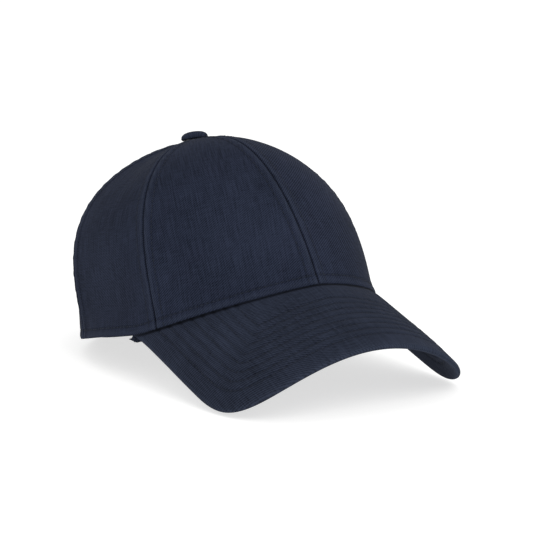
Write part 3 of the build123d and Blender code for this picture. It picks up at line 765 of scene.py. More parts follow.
class Finishes:
    """Every finish of the cap, made once."""

    def __init__(self) -> None:
        """Make the materials."""
        deep, face, dull = Ink.TWILL_DEEP, Ink.TWILL_FACE, Ink.NICKEL_WORN
        self.crown = WovenCloth("cotton_twill_crown", deep, face).make()
        self.brim = WovenCloth(
            "cotton_twill_brim", Ink.BRIM_DEEP, Ink.BRIM_FACE, rib_angle=math.radians(52)
        ).make()
        self.thread = TwistedThread("spun_polyester_thread", Ink.THREAD).make()
        self.cotton = WovenCloth(
            "cotton_drill_sweatband", Ink.COTTON_DEEP, Ink.COTTON_FACE, rib=0.9, rib_angle=math.radians(-50)
        ).make()
        self.tape = WovenCloth(
            "cotton_seam_tape", Ink.TAPE_DEEP, Ink.TAPE_FACE, rib=0.8, rib_angle=0.0, slub=(0.7, 5.0)
        ).make()
        self.webbing = WovenCloth("cotton_twill_strap", deep, face, rib=1.0).make()
        self.buckram = OpenGauze("stiffened_buckram", Ink.BUCKRAM_DEEP, Ink.BUCKRAM_FACE).make()
        self.nickel = StampedMetal("stamped_nickelled_brass", Ink.NICKEL, dull).make()
        self.steel = StampedMetal("pressed_tinned_steel", Ink.STEEL, dull, (0.35, 0.6)).make()
        self.foam = GrainedSolid("polyurethane_foam", Ink.FOAM, Ink.TWILL_WORN, 0.7, 0.95, 0.3).make()
        self.plastic = GrainedSolid("die_cut_polyethylene", Ink.PLASTIC, Ink.FOAM, 1.2, 0.5, 0.03).make()
        self.satin = WovenCloth(
            "woven_satin_label", Ink.SATIN_DEEP, Ink.SATIN_FACE, worn=Ink.SATIN_FACE, rib=0.6,
            rib_angle=math.radians(90), slub=(0.5, 3.0), relief=0.06, roughness=0.5, sheen=0.3,
        ).make()


# ---- making pieces ----


@dataclass
class Swatch:
    """A surface over a flat grid: places and cloth coordinates in mm, and real wear with painted shade.

    Values from 0 to 1 are real wear, where cloth is rubbed pale; values down to -1 are painted shade that
    darkens seams, stitched channels and the brim's root under the hem.
    """

    points: Array
    cloth: Array
    wear_and_shade: Array


Shape = Callable[[Array, Array], Swatch]


@dataclass
class SewnRow:
    """A line of stitches: the points it follows and the way out of the cloth at each."""

    points: Array
    normals: Array
    lift: float = 0.1


@dataclass
class Workshop:
    """Turns surfaces and rows of stitches into pieces that ride on the frame."""

    stance: Stance
    finishes: Finishes
    stitch_pitch: float = 3.4
    stitch_length: float = 2.6
    thread_width: float = 0.5

    def weave(self, name: str, columns: int, rows: int, shape: Shape, thickness: float = 0.0,
              closed: bool = False, offset: float = -1.0) -> bpy.types.Object:
        """Shape a grid into a piece of cloth.

        Args:
            name: Piece name.
            columns: Faces along the grid's first direction.
            rows: Faces along its second direction.
            shape: Gives the surface at shares 0 to 1 along both directions.
            thickness: Thickness to add, or 0 for a closed shape.
            closed: Join edges that meet and close open ends.
            offset: Side that the thickness grows to: -1 behind the face, 0 both ways.

        Returns:
            The piece, at the origin, in the row frame.
        """
        bm = bmesh.new()
        bmesh.ops.create_grid(bm, x_segments=columns, y_segments=rows, size=1.0)
        bm.verts.index_update()
        flat = np.round(np.array([vert.co[:2] for vert in bm.verts]) / 2 + 0.5, 6)
        swatch = shape(flat[:, 0], flat[:, 1])
        layer = bm.loops.layers.uv.new(CLOTH_MAP)
        # A vertex layer of real wear (above 0) and painted shade (below 0).
        rubbed = bm.verts.layers.float.new(WEAR_AND_SHADE)
        cloth = swatch.cloth / 1000
        for face in bm.faces:
            face.smooth = True
            for loop in face.loops:
                loop[layer].uv = cloth[loop.vert.index]
        for vert, place, wear_and_shade in zip(bm.verts, self.stance.place(swatch.points), swatch.wear_and_shade):
            vert.co = place
            vert[rubbed] = wear_and_shade
        if closed:
            bmesh.ops.remove_doubles(bm, verts=bm.verts, dist=1e-6)
            rim = [edge for edge in bm.edges if edge.is_boundary]
            if rim:
                bmesh.ops.holes_fill(bm, edges=rim, sides=0)
            bmesh.ops.recalc_face_normals(bm, faces=bm.faces)
        mesh = bpy.data.meshes.new(name)
        bm.to_mesh(mesh)
        bm.free()
        piece = bpy.data.objects.new(name, mesh)
        bpy.context.scene.collection.objects.link(piece)
        if thickness:
            wall = piece.modifiers.new("thickness", "SOLIDIFY")
            wall.thickness = thickness / 1000
            wall.offset = offset
        return piece

    def sew(self, name: str, rows: list[SewnRow]) -> bpy.types.Object:
        """Lay separate stitches along rows.

        Args:
            name: Piece name.
            rows: Rows to follow.

        Returns:
            One piece that holds every stitch.
        """
        whole = bmesh.new()
        for row in rows:
            lengths = run_lengths(row.points)
            wanted = np.arange(self.stitch_pitch / 2, lengths[-1] - self.stitch_pitch / 2, self.stitch_pitch)
            if len(wanted) == 0:
                continue
            middles = self.stance.place(along_line(row.points, lengths, wanted))
            ahead = self.stance.place(along_line(row.points, lengths, wanted + 0.5))
            outs = self.stance.turn(along_line(row.normals, lengths, wanted))
            line = bmesh.new()
            for middle, front, out in zip(middles, ahead, outs):
                self._stitch(line, Vector(middle), Vector(front), Vector(out).normalized(), row.lift / 1000)
            carrier = bpy.data.meshes.new("row")
            line.to_mesh(carrier)
            line.free()
            whole.from_mesh(carrier)
            bpy.data.meshes.remove(carrier)
        for face in whole.faces:
            face.smooth = True
        mesh = bpy.data.meshes.new(name)
        whole.to_mesh(mesh)
        whole.free()
        piece = bpy.data.objects.new(name, mesh)
        bpy.context.scene.collection.objects.link(piece)
        return piece

    def piece(self, name: str, columns: int, rows: int, shape: Shape, finish: bpy.types.Material, slot: str,
              *stands_for: str, body: str = CAP_BODY, **made: float | bool) -> bpy.types.Object:
        """Weave a piece and dress it."""
        return self.dress(self.weave(name, columns, rows, shape, **made), finish, body, stands_for)

    def stitching(self, name: str, rows: list[SewnRow], slot: str, body: str = CAP_BODY) -> None:
        """Sew rows of stitches and dress them."""
        self.dress(self.sew(name, rows), self.finishes.thread, body)

    def _stitch(self, bm: bmesh.types.BMesh, middle: Vector, front: Vector, out: Vector, lift: float) -> None:
        """Add one stitch, a small bead drawn out along its row."""
        ahead = (front - middle).normalized()
        side = ahead.cross(out).normalized()
        out = side.cross(ahead)
        half = self.thread_width / 2000
        reach = self.stitch_length / 2000
        axes = Matrix((side * half, out * half * 0.8, ahead * reach)).transposed().to_4x4()
        seat = Matrix.Translation(middle + out * lift) @ axes
        bmesh.ops.create_uvsphere(bm, u_segments=6, v_segments=5, radius=1.0, matrix=seat)

    def dress(self, piece: bpy.types.Object, material: bpy.types.Material, body: str,
              stands_for: tuple[str, ...] = ()) -> bpy.types.Object:
        """Give a piece its finish, its body and the CAD nodes that it stands for."""
        piece.data.materials.clear()
        piece.data.materials.append(material)
        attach(piece, body)
        if stands_for:
            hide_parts(*stands_for)
        log.info("%s: %d vertices", piece.name, len(piece.data.vertices))
        return piece


def fine_at_both_ends(share: Array, gather: float = 0.85) -> Array:
    """Crowd a grid's lines towards both ends."""
    return share - gather * np.sin(TAU * share) / TAU


def fine_at_start(share: Array, gather: float = 0.6) -> Array:
    """Crowd a grid's lines towards its start."""
    return (1 - gather) * share + gather * share * share


# ---- the crown ----


@dataclass
class Crown:
    """Panels, stiffeners, seam tapes and the crown's rows of stitches."""

    form: CrownForm
    shop: Workshop
    stitch_inset: float = 5.6
    seam_gap: float = 0.01
    hem_stitch: float = 5.0
    tape_width: float = 14.0
    tape: float = 0.6
    stiffener: float = 0.7
    layer_gap: float = 0.15
    ridge_ease: float = 0.3
    tape_top_radius: float = 16.0
    backing_top_radius: float = 48.0
    backing_lift: float = 2.0
    backing_inset: float = 1.5
    binding_reach: float = 7.3
    tape_places: ClassVar[dict[int, str]] = {
        0: "front_centre", 1: "front_left", -1: "front_right",
        2: "back_left", -2: "back_right", 3: "back_centre",
    }

    @property
    def tape_depth(self) -> float:
        """Depth of the tapes' hidden face."""
        return self.form.fabric + self.stiffener + 2 * self.layer_gap + self.ridge_ease

    def relief(self, bearing: Array, height: Array) -> Array:
        """How far the sewn cloth stands above the plain surface.

        Seams are thin grooves between raised allowances, the stitched rows pull the cloth in, and
        small puckers run from them.
        """
        gap, number, length = self.form.seam_field(bearing, height)
        side = np.sign(np.sin(bearing))
        above = height - self.form.hem(bearing)
        around = bearing * HEM_RADIUS
        groove = -0.55 * crest(gap, 0.5)
        allowance = 0.34 * ease((7.0 - gap) / 1.6) * ease(gap / 1.3)
        channel = -0.26 * crest(gap - self.stitch_inset, 0.6)
        phase = 2.1 * number + 1.4 * side + 1.2 * np.sin(length / 17)
        ripple = 0.15 * np.sin(TAU * length / 8.3 + phase)
        ripple += 0.08 * np.sin(TAU * length / 4.9 + number)
        ripple *= crest(gap, 7.5) * ease(gap / 2)
        drape = 0.34 * np.sin(length / 13 + 2.6 * bearing) * np.sin(3.1 * bearing + 0.8) * ease(gap / 20)
        rolled = 0.3 * crest(above - 1.6, 1.8) - 0.3 * crest(above - self.hem_stitch, 0.7)
        rolled += 0.16 * ease((self.hem_stitch + 0.8 - above) / 1.6)
        hem_ripple = 0.1 * np.sin(TAU * around / 9.1 + np.sin(around / 23))
        hem_ripple *= crest(above - self.hem_stitch, 6.0)
        near_button = ease((self.form.girth(bearing, height) - 8.5) / 5)
        return (groove + allowance + channel + ripple + drape) * near_button + rolled + hem_ripple

    def edge(self, seam: int, height: Array) -> Array:
        """Bearing of a panel's edge: its seam, or the side of the back opening."""
        line = self.form.seam(seam, height)
        if abs(seam) == 3:
            low = height < self.form.opening_height + 6
            limit = np.where(low, self.form.opening_bearing(height), TAU)
            return np.sign(seam) * np.minimum(np.abs(line), limit)
        return line

    def gore(self, first: int, second: int, lift: float, top_radius: float, inset: float, depth: float,
             sewn: bool) -> Shape:
        """The surface of one gore.

        Args:
            first: Seam on its right-hand side, the lower bearing.
            second: Seam on its other side.
            lift: Distance of its lower edge above the hem.
            top_radius: Radius at which it ends at the top.
            inset: Clearance from both seams.
            depth: Depth below the crown's outer surface.
            sewn: Whether the surface carries the seams' relief.

        Returns:
            The shape over shares across and up the gore.
        """

        def bearing_at(share: Array, height: Array) -> Array:
            """Bearing at a share across the gore."""
            low, high = self.edge(first, height), self.edge(second, height)
            gaps = [inset / np.maximum(self.form.girth(edge, height), inset * 4) for edge in (low, high)]
            return low + gaps[0] + (high - low - gaps[0] - gaps[1]) * share

        def surface(across: Array, up: Array) -> Swatch:
            """Points of the gore."""
            share, climb = fine_at_both_ends(across), fine_at_start(up)
            columns = np.unique(share)
            low = self.form.hem(bearing_at(columns, np.zeros_like(columns))) + lift
            summit = np.full_like(columns, self.form.height)
            high = self.form.height_at(bearing_at(columns, summit), top_radius)
            bearing, height, length = self.form.stations(bearing_at, low, high, share, climb)
            middle = (self.form.seam(first, height) + self.form.seam(second, height)) / 2
            cloth = np.stack([(bearing - middle) * self.form.girth(bearing, height), length], axis=-1)
            stand = self.relief(bearing, height) if sewn else np.zeros_like(height)
            gap, _, _ = self.form.seam_field(bearing, height)
            above = height - self.form.hem(bearing)
            # Real wear pales the seam allowances and the rolled hem; painted shade darkens the stitched
            # channels, the hem's row of stitches and the seam grooves.
            rubbed = 0.4 * crest(gap - 1.9, 1.1) + 0.3 * crest(above - 1.7, 1.0)
            stitch_row_shade = 0.25 * crest(gap - self.stitch_inset, 0.7) + 0.35 * crest(above - self.hem_stitch, 0.7)
            wear_and_shade = rubbed - stitch_row_shade - 0.7 * crest(gap, 0.6)
            return Swatch(self.form.skin(bearing, height, depth - stand), cloth, wear_and_shade)

        return surface

    def build(self) -> None:
        """Build every piece of the crown."""
        form, shop, finishes = self.form, self.shop, self.shop.finishes
        for side, turn in (("left", 1), ("right", -1)):
            for name, seams in (("front", (0, 1)), ("side", (1, 2)), ("back", (2, 3))):
                first, second = sorted(turn * seam for seam in seams)
                shape = self.gore(first, second, 0.0, form.hole_radius, self.seam_gap, 0.0, True)
                shop.piece(f"twill_panel_{name}_{side}", 76, 124, shape, finishes.crown, "crown_twill",
                           f"crown_panel_{name}_{side}", thickness=form.fabric)
            first, second = sorted((0, turn))
            backing = self.gore(first, second, self.backing_lift, self.backing_top_radius, self.backing_inset,
                                form.fabric + self.layer_gap, False)
            shop.piece(f"buckram_front_{side}", 40, 48, backing, finishes.buckram, "buckram",
                       f"front_stiffener_{side}", thickness=self.stiffener)
        for seam, place in self.tape_places.items():
            shop.piece(f"bound_tape_{place}", 14, 90, self.tape_shape(seam), finishes.tape, "tape_cotton",
                       f"seam_tape_{place}", thickness=self.tape)
        shop.stitching("crown_stitches", self.seam_rows() + self.hem_rows(), "crown_twill")
        shop.stitching("tape_stitches", self.tape_rows(), "tape_cotton")

    def tape_shape(self, seam: int) -> Shape:
        """The surface of the tape that covers one seam inside."""

        def bearing_at(share: Array, height: Array) -> Array:
            """Bearing at a share across the tape."""
            middle = self.form.seam(seam, height)
            return middle + (share - 0.5) * self.tape_width / self.form.girth(middle, height)

        def surface(across: Array, up: Array) -> Swatch:
            """Points of the tape."""
            columns = np.unique(across)
            if abs(seam) == 3:
                reach = (columns - 0.5) * self.tape_width
                half = self.form.opening_half_width + self.binding_reach
                straight = self.form.opening_straight
                top = self.form.opening_height - straight + self.binding_reach
                low = self.form.behind(reach, straight + top * np.sqrt(1 - (reach / half) ** 2))[1]
            else:
                low = self.form.hem(bearing_at(columns, np.zeros_like(columns))) + 1.0
            top_bearing = self.form.seam(seam, np.full_like(columns, self.form.height))
            high = self.form.height_at(top_bearing, self.tape_top_radius)
            bearing, height, length = self.form.stations(bearing_at, low, high, across, up)
            offset = (across - 0.5) * self.tape_width
            edge = crest(np.abs(offset) - self.tape_width / 2, 0.7)
            puff = 0.12 * np.sin(TAU * length / 6.1) * crest(np.abs(offset) - self.stitch_inset, 2.0)
            channel = 0.12 * crest(np.abs(offset) - self.stitch_inset, 0.6)
            depth = self.tape_depth - 0.15 * edge - 0.3 * channel + 0.25 * puff
            cloth = np.stack([offset, length], axis=-1)
            return Swatch(self.form.skin(bearing, height, depth), cloth, 0.5 * edge)

        return surface

    def seam_line(self, seam: int, side: float, low: float, top_radius: float) -> tuple[Array, Array]:
        """Bearings and heights of a line beside a seam, from a distance above the hem to a radius."""
        start = self.form.seam(seam, np.array([0.0]))
        bottom = float(self.form.hem(start)[0]) + low
        if abs(seam) == 3:
            bottom = self.form.opening_height + low
        top = float(self.form.height_at(self.form.seam(seam, np.array([self.form.height])), top_radius)[0])
        height = bottom + (top - bottom) * np.sin(np.linspace(0, math.pi / 2, 160))
        middle = self.form.seam(seam, height)
        return middle + side * self.stitch_inset / self.form.girth(middle, height), height

    def seam_rows(self) -> list[SewnRow]:
        """Two rows beside every seam."""
        rows = []
        for seam in self.tape_places:
            for side in (-1, 1):
                bearing, height = self.seam_line(seam, side, 8.2 if abs(seam) == 3 else 0.8, 10.5)
                out = self.form.normal(bearing, height)
                rows.append(SewnRow(self.form.skin(bearing, height, -self.relief(bearing, height)), out))
        return rows

    def hem_rows(self) -> list[SewnRow]:
        """One row round the hem, up to both sides of the back opening."""
        end = float(self.form.opening_bearing(np.array([3.0]), grow=8.0)[0])
        bearing = np.linspace(-end, end, 700)
        height = self.form.hem(bearing) + self.hem_stitch
        out = self.form.normal(bearing, height)
        return [SewnRow(self.form.skin(bearing, height, -self.relief(bearing, height)), out)]

    def tape_rows(self) -> list[SewnRow]:
        """The same rows where they come through the tapes inside."""
        rows = []
        depth = self.tape_depth + self.tape
        for seam in self.tape_places:
            low = 8.6 if abs(seam) == 3 else 32.0
            for side in (-1, 1):
                bearing, height = self.seam_line(seam, side, low, self.tape_top_radius + 2)
                inner = self.form.skin(bearing, height, depth)
                rows.append(SewnRow(inner, -self.form.normal(bearing, height)))
        return rows


# ---- the brim ----


@dataclass
class Brim:
    """Two covers sewn through the board in rows that follow the outer edge."""

    form: BrimForm
    shop: Workshop
    first_row: float = 12.0
    row_gap: float = 5.7
    row_count: int = 8
    cover: float = 0.7
    seam_gap: float = 0.15
    root_swell: float = 0.55

    @property
    def rows(self) -> list[float]:
        """Distances of the rows from the outer edge."""
        return [self.first_row + self.row_gap * i for i in range(self.row_count)]

    def relief(self, points: Array, inset: Array, distance: Array) -> Array:
        """How far the cover swells between its rows and is pulled in along them.

        Args:
            points: Points of the plain surface.
            inset: Their distances from the outer edge.
            distance: Their distances from the tucked edge, where the cover swells against the hem.
        """
        sewn = sum(crest(inset - row, 0.85) for row in self.rows)
        swell = np.sin(math.pi * (inset - self.first_row) / self.row_gap) ** 2
        quilted = np.where(inset > self.first_row, swell, 0)
        angle = np.arctan2(points[:, 0], 60 - points[:, 1]) * 130
        ripple = np.sin(TAU * angle / 6.3 + 0.35 * inset) * sum(crest(inset - row, 2.4) for row in self.rows)
        free = ease((distance - self.form.tuck - 0.6) / 2.5)
        groove = 0.5 * crest(distance - self.form.tuck - 1.3, 1.2)
        between = 0.16 * quilted - 0.34 * sewn + 0.07 * ripple
        return between * free + self.root_swell * (1 - free) - groove

    def cover_shape(self, side: int) -> Shape:
        """The upper (1) or lower (-1) cover, rolled round the edge to the middle of the thickness."""
        middle = self.form.thickness / 2
        flat_share = 0.9

        def surface(across: Array, out: Array) -> Swatch:
            """Points of the cover."""
            share = (1 - 2 * across) * side
            length = np.interp(share, self.form.shares, self.form.lengths)
            turn = np.clip((out - flat_share) / (1 - flat_share), 0, 1) * math.pi / 2
            flat = np.clip(out / flat_share, 0, 1)
            distance = (length - middle) * flat + middle * np.sin(turn)
            depth = middle - side * middle * np.cos(turn) - side * self.seam_gap / 2 * np.sin(turn) ** 8
            points, normals, inset = self.form.sample(share, distance)
            stand = self.relief(points, inset, distance) * side * np.cos(turn) ** 2
            places = points + normals * (stand - depth)[:, None]
            # Real wear pales the outer edge; the negative terms are painted shade along the rows of stitches.
            sewn = sum(crest(inset - row, 0.9) for row in self.rows)
            wear_and_shade = 0.55 * crest(inset, 1.8) + 0.12 * crest(inset - 3.4, 2.0) - 0.25 * sewn
            # painted shadow: a dark line at the brim's root, under the crown's hem edge
            wear_and_shade -= 0.95 * crest(distance - self.form.tuck - 0.9, 1.1)
            return Swatch(places, self.form.cloth(points), wear_and_shade)

        return surface

    def build(self) -> None:
        """Build the brim's pieces."""
        for name, side in (("top", 1), ("under", -1)):
            shape = self.cover_shape(side)
            self.shop.piece(f"twill_brim_{name}", 230, 130, shape, self.shop.finishes.brim, "brim_twill",
                            f"brim_{name}_cover", thickness=self.cover)
        rows = []
        for inset in self.rows:
            shares, distances = self.form.parallel_row(inset)
            points, normals, gaps = self.form.sample(shares, distances)
            stand = self.relief(points, gaps, distances)[:, None]
            rows.append(SewnRow(points + normals * stand, normals))
            under = points - normals * (self.form.thickness + stand)
            rows.append(SewnRow(under, -normals))
        self.shop.stitching("brim_stitches", rows, "brim_twill")


# ---- the sweatband and what it holds ----


@dataclass
class Sweatband:
    """The folded band round the inside of the hem, the foam behind it and its two labels."""

    form: CrownForm
    shop: Workshop
    thickness: float = 0.8
    height: float = 31.0
    lift: float = 1.0
    front_depth: float = 4.15
    pocket_depth: float = 8.3
    pocket_bearings: tuple[float, float] = (math.radians(98.0), math.radians(128.0))
    foam_half_bearing: float = math.radians(48)
    foam: float = 0.6
    foam_depth: float = 3.1
    label: float = 0.3
    label_gap: float = 0.4
    label_height: float = 18.0

    @property
    def rows(self) -> tuple[float, float]:
        """Heights of the two rows of stitches above the hem."""
        return self.lift + 3.0, self.lift + self.height - 2.4

    def depth(self, bearing: Array) -> Array:
        """Depth of the band's hidden face."""
        start, end = self.pocket_bearings
        away = ease((np.abs(bearing) - start) / (end - start))
        return self.front_depth + (self.pocket_depth - self.front_depth) * away

    def band_shape(self, across: Array, round_it: Array) -> Swatch:
        """Points round the band's rounded section, all along the hem."""
        rise, out = rounded_loop(round_it, self.height, self.thickness, self.thickness * 0.49)
        level = self.lift + self.height / 2 + rise
        end = self.form.opening_bearing(level - self.form.back_dip, self.pocket_depth, 0.5)
        bearing = (2 * across - 1) * end
        height = self.form.hem(bearing) + level
        around = bearing * BAND_RADIUS
        inside = out > 0
        channel = sum(crest(level - row, 0.6) for row in self.rows)
        ripple = np.sin(TAU * around / 7.7) * crest(level - self.lift - self.height, 7.0)
        soft = 0.25 * np.sin(around / 19) * ease((level - 6) / 12)
        stand = np.where(inside, -0.18 * channel + 0.1 * ripple, 0) + 0.4 * soft * ease((level - 4) / 10)
        depth = self.depth(bearing) + self.thickness / 2 + out + np.maximum(stand, -0.15)
        wear_and_shade = 0.5 * crest(level - self.lift - self.height, 1.2)
        cloth = np.stack([around, level + 2 * out], axis=-1)
        return Swatch(self.form.skin(bearing, height, depth), cloth, wear_and_shade)

    def foam_shape(self, across: Array, up: Array) -> Swatch:
        """Points of the foam strip's outer face."""
        bearing = (2 * across - 1) * self.foam_half_bearing
        height = self.form.hem(bearing) + self.lift + 4 + (self.height - 10) * up
        cloth = np.stack([bearing * BAND_RADIUS, height], axis=-1)
        return Swatch(self.form.skin(bearing, height, self.foam_depth), cloth, np.zeros_like(up))

    def label_shape(self, middle: float, width: float) -> Shape:
        """One label's hidden face, with softly raised folded ends."""
        spread = width / 2 / float(self.form.girth(np.array([middle]), np.array([self.height / 2]))[0])

        def surface(across: Array, up: Array) -> Swatch:
            """Points of the label."""
            bearing = middle + (2 * across - 1) * spread
            level = self.lift + (self.height - self.label_height) / 2 + self.label_height * up
            height = self.form.hem(bearing) + level
            folded = crest((np.abs(2 * across - 1) - 0.93) * width / 2, 1.0)
            depth = self.depth(bearing) + self.thickness + self.label_gap + 0.1 * folded
            cloth = np.stack([across * width, up * self.label_height], axis=-1)
            return Swatch(self.form.skin(bearing, height, depth), cloth, 0.3 * folded)

        return surface

    def label_rows(self, middle: float, width: float) -> list[SewnRow]:
        """A short row along both ends of a label."""
        rows = []
        for end in (0.06, 0.94):
            up = np.linspace(0.04, 0.96, 12)
            found = self.label_shape(middle, width)(np.full_like(up, end), up).points
            bearing = middle + np.zeros_like(up)
            out = -self.form.normal(bearing, self.height / 2 + np.zeros_like(up))
            rows.append(SewnRow(found + out * self.label, out, 0.1))
        return rows

    def build(self) -> None:
        """Build the band, the foam strip and the labels."""
        shop, finishes = self.shop, self.shop.finishes
        shop.piece("cotton_sweatband", 220, 92, self.band_shape, finishes.cotton, "sweatband_cotton",
                   "sweatband", closed=True)
        strip = shop.piece("foam_forehead_strip", 60, 12, self.foam_shape, finishes.foam, "foam",
                           "sweatband_padding", thickness=self.foam)
        rows = []
        for name, degrees, width in (("size_label", 140, 20.0), ("care_label", -138, 26.0)):
            middle = math.radians(degrees)
            shape = self.label_shape(middle, width)
            shop.piece(f"blank_{name}", 20, 14, shape, finishes.satin, "label_satin", name, thickness=self.label)
            rows += self.label_rows(middle, width)
        for level in self.rows:
            end = float(self.form.opening_bearing(np.array([level - 2.0]), self.pocket_depth, 2.0)[0])
            bearing = np.linspace(-end, end, 600)
            height = self.form.hem(bearing) + level
            inner = self.form.skin(bearing, height, self.depth(bearing) + self.thickness)
            rows.append(SewnRow(inner, -self.form.normal(bearing, height), 0.12))
        shop.stitching("sweatband_stitches", rows, "sweatband_cotton")


# ---- the opening behind ----


@dataclass
class BackOpening:
    """The bound arch, the strap across it and the tab that holds the buckle."""

    form: CrownForm
    strap: StrapForm
    shop: Workshop
    binding: float = 0.55
    binding_width: float = 7.0
    binding_row: float = 5.4
    arch_length: float = 150.0
    strap_row: float = 2.6
    clearance: float = 0.3
    tab_width: float = 16.8
    tab_fold: float = 0.6

    def arch_path(self, share: Array) -> tuple[Array, Array]:
        """Places along the arch's edge and the way away from the opening, both seen from behind."""
        half, straight = self.form.opening_half_width, self.form.opening_straight
        top = self.form.opening_height - straight
        turns = np.linspace(0, math.pi, 181)
        arch = np.stack([half * np.cos(turns), straight + top * np.sin(turns)], axis=-1)
        foot = -self.form.back_dip
        path = np.concatenate([[[half, foot]], arch, [[-half, foot]]])
        lengths = run_lengths(path)
        places = along_line(path, lengths, share * lengths[-1])
        above = np.maximum(places[:, 1] - straight, 0)
        outs = np.stack([places[:, 0] / half**2, above / top**2], axis=-1)
        return places, outs / np.linalg.norm(outs, axis=-1, keepdims=True)

    def on_crown(self, share: Array, away: Array, depth: Array) -> Array:
        """Points at a distance away from the arch's edge and a depth in the crown."""
        places, outs = self.arch_path(share)
        spot = places + outs * away[:, None]
        bearing, height = self.form.behind(spot[:, 0], spot[:, 1])
        return self.form.skin(bearing, height, depth)

    def binding_shape(self, along: Array, round_it: Array) -> Swatch:
        """Points round the folded section of the binding, all along the arch."""
        wall, gap, wide = self.binding, self.clearance, self.binding_width
        top, bottom = -wall - gap, self.form.fabric + wall + gap
        section = np.array(
            [
                (wide, top + 0.15), (wide - 0.3, top), (0.0, top), (-0.45, top + 0.12), (-0.78, top + 0.45),
                (-wall - gap, top + 1.0), (-wall - gap, bottom - 1.0), (-0.78, bottom - 0.45),
                (-0.45, bottom - 0.12), (0.0, bottom), (wide - 0.3, bottom), (wide, bottom - 0.15),
                (wide, bottom - wall + 0.1), (wide - 0.2, bottom - wall), (-gap, bottom - wall),
                (-gap, top + wall), (wide - 0.2, top + wall), (wide, top + wall - 0.1), (wide, top + 0.15),
            ]
        )
        lengths = run_lengths(section)
        found = along_line(section, lengths, round_it * lengths[-1])
        away, depth = found[:, 0], found[:, 1]
        outer = (depth < -gap - wall / 2) | (depth > self.form.fabric + gap + wall / 2)
        sewn = away - self.binding_row
        channel = 0.16 * crest(sewn, 0.5) * outer
        ripple = 0.07 * np.sin(TAU * along * self.arch_length / 5.9) * crest(sewn, 2.4) * outer
        depth = depth + np.where(depth < 0, 1, -1) * (channel - ripple)
        cloth = np.stack([along * self.arch_length, found[:, 0] + 2 * found[:, 1]], axis=-1)
        wear_and_shade = 0.7 * crest(away + 0.6, 0.8)
        return Swatch(self.on_crown(along, away, depth), cloth, wear_and_shade)

    def binding_rows(self) -> list[SewnRow]:
        """Rows of stitches on both leaves of the binding."""
        share = np.linspace(0.012, 0.988, 300)
        away = np.full_like(share, self.binding_row)
        rows = []
        wall = self.binding + self.clearance
        for level, way in ((-wall, 1), (self.form.fabric + wall, -1)):
            base = self.on_crown(share, away, np.full_like(share, level))
            inner = self.on_crown(share, away, np.full_like(share, level + 1.0))
            rows.append(SewnRow(base, (base - inner) * way, 0.02))
        return rows

    def strap_shape(self, along: Array, round_it: Array) -> Swatch:
        """Points round the strap's section, all along its arc."""
        width, thickness = self.strap.width, self.strap.thickness
        height, offset = rounded_loop(round_it, width, thickness, thickness * 0.45)
        length = (2 * along - 1) * self.strap.half_length
        edge = np.abs(height) - width / 2 + self.strap_row
        channel = 0.16 * crest(edge, 0.55) * np.sign(offset) * (np.abs(height) < width / 2 - 1)
        cloth = np.stack([height + 2 * offset, length], axis=-1)
        wear_and_shade = 0.6 * crest(np.abs(height) - width / 2, 0.9)
        return Swatch(self.strap.point(offset - channel, length, height), cloth, wear_and_shade)

    def strap_rows(self) -> list[SewnRow]:
        """Rows of stitches along both edges of both faces of the strap."""
        rows = []
        length = np.linspace(-self.strap.half_length + 2, self.strap.half_length - 2, 240)
        for face in (-1, 1):
            for side in (-1, 1):
                height = np.full_like(length, side * (self.strap.width / 2 - self.strap_row))
                offset = np.full_like(length, face * (self.strap.thickness / 2 - 0.12))
                base = self.strap.point(offset, length, height)
                rows.append(SewnRow(base, self.strap.point(offset + face, length, height) - base, 0.0))
        return rows

    def tab_shape(self, along: Array, across: Array) -> Swatch:
        """The tab's middle sheet, from its sewn end round the buckle's bar and back."""
        path = np.array(
            [
                (-52.0, -1.68), (-36.0, -1.68), (-33.6, -1.62), (-32.4, -1.40), (-31.0, -1.34),
                (-30.0, -1.38), (-29.66, -1.70), (-29.6, -2.10), (-29.66, -2.50), (-30.0, -2.84),
                (-31.0, -2.88), (-32.4, -2.80), (-33.6, -2.40), (-36.0, -2.32), (-52.0, -2.32),
            ]
        )
        lengths = run_lengths(path)
        found = along_line(path, lengths, along * lengths[-1])
        height = (across - 0.5) * self.tab_width
        cloth = np.stack([height, along * lengths[-1]], axis=-1)
        wear_and_shade = 0.6 * crest(found[:, 0] + 29.8, 0.7)
        return Swatch(self.strap.point(found[:, 1], found[:, 0], height), cloth, wear_and_shade)

    def tab_rows(self) -> list[SewnRow]:
        """Two rows across the tab behind the buckle."""
        rows = []
        height = np.linspace(-7.4, 7.4, 40)
        for length in np.array([[-35.4], [-37.4]]) + 0 * height:
            base, above = (self.strap.point(offset + 0 * height, length, height) for offset in (-1.38, -0.38))
            rows.append(SewnRow(base, above - base, 0.04))
        return rows

    def build(self) -> None:
        """Build the binding, the strap and the tab."""
        shop, finishes = self.shop, self.shop.finishes
        shop.piece("twill_arch_binding", 150, 64, self.binding_shape, finishes.crown, "crown_twill",
                   "arch_binding", closed=True)
        shop.piece("twill_strap", 130, 72, self.strap_shape, finishes.webbing, "crown_twill", "strap",
                   body=STRAP_BODY, closed=True)
        shop.piece("twill_buckle_tab", 70, 24, self.tab_shape, finishes.webbing, "crown_twill", "buckle_tab",
                   thickness=self.tab_fold, offset=0.0)
        shop.stitching("opening_stitches", self.binding_rows() + self.tab_rows(), "crown_twill")
        shop.stitching("strap_stitches", self.strap_rows(), "crown_twill", STRAP_BODY)


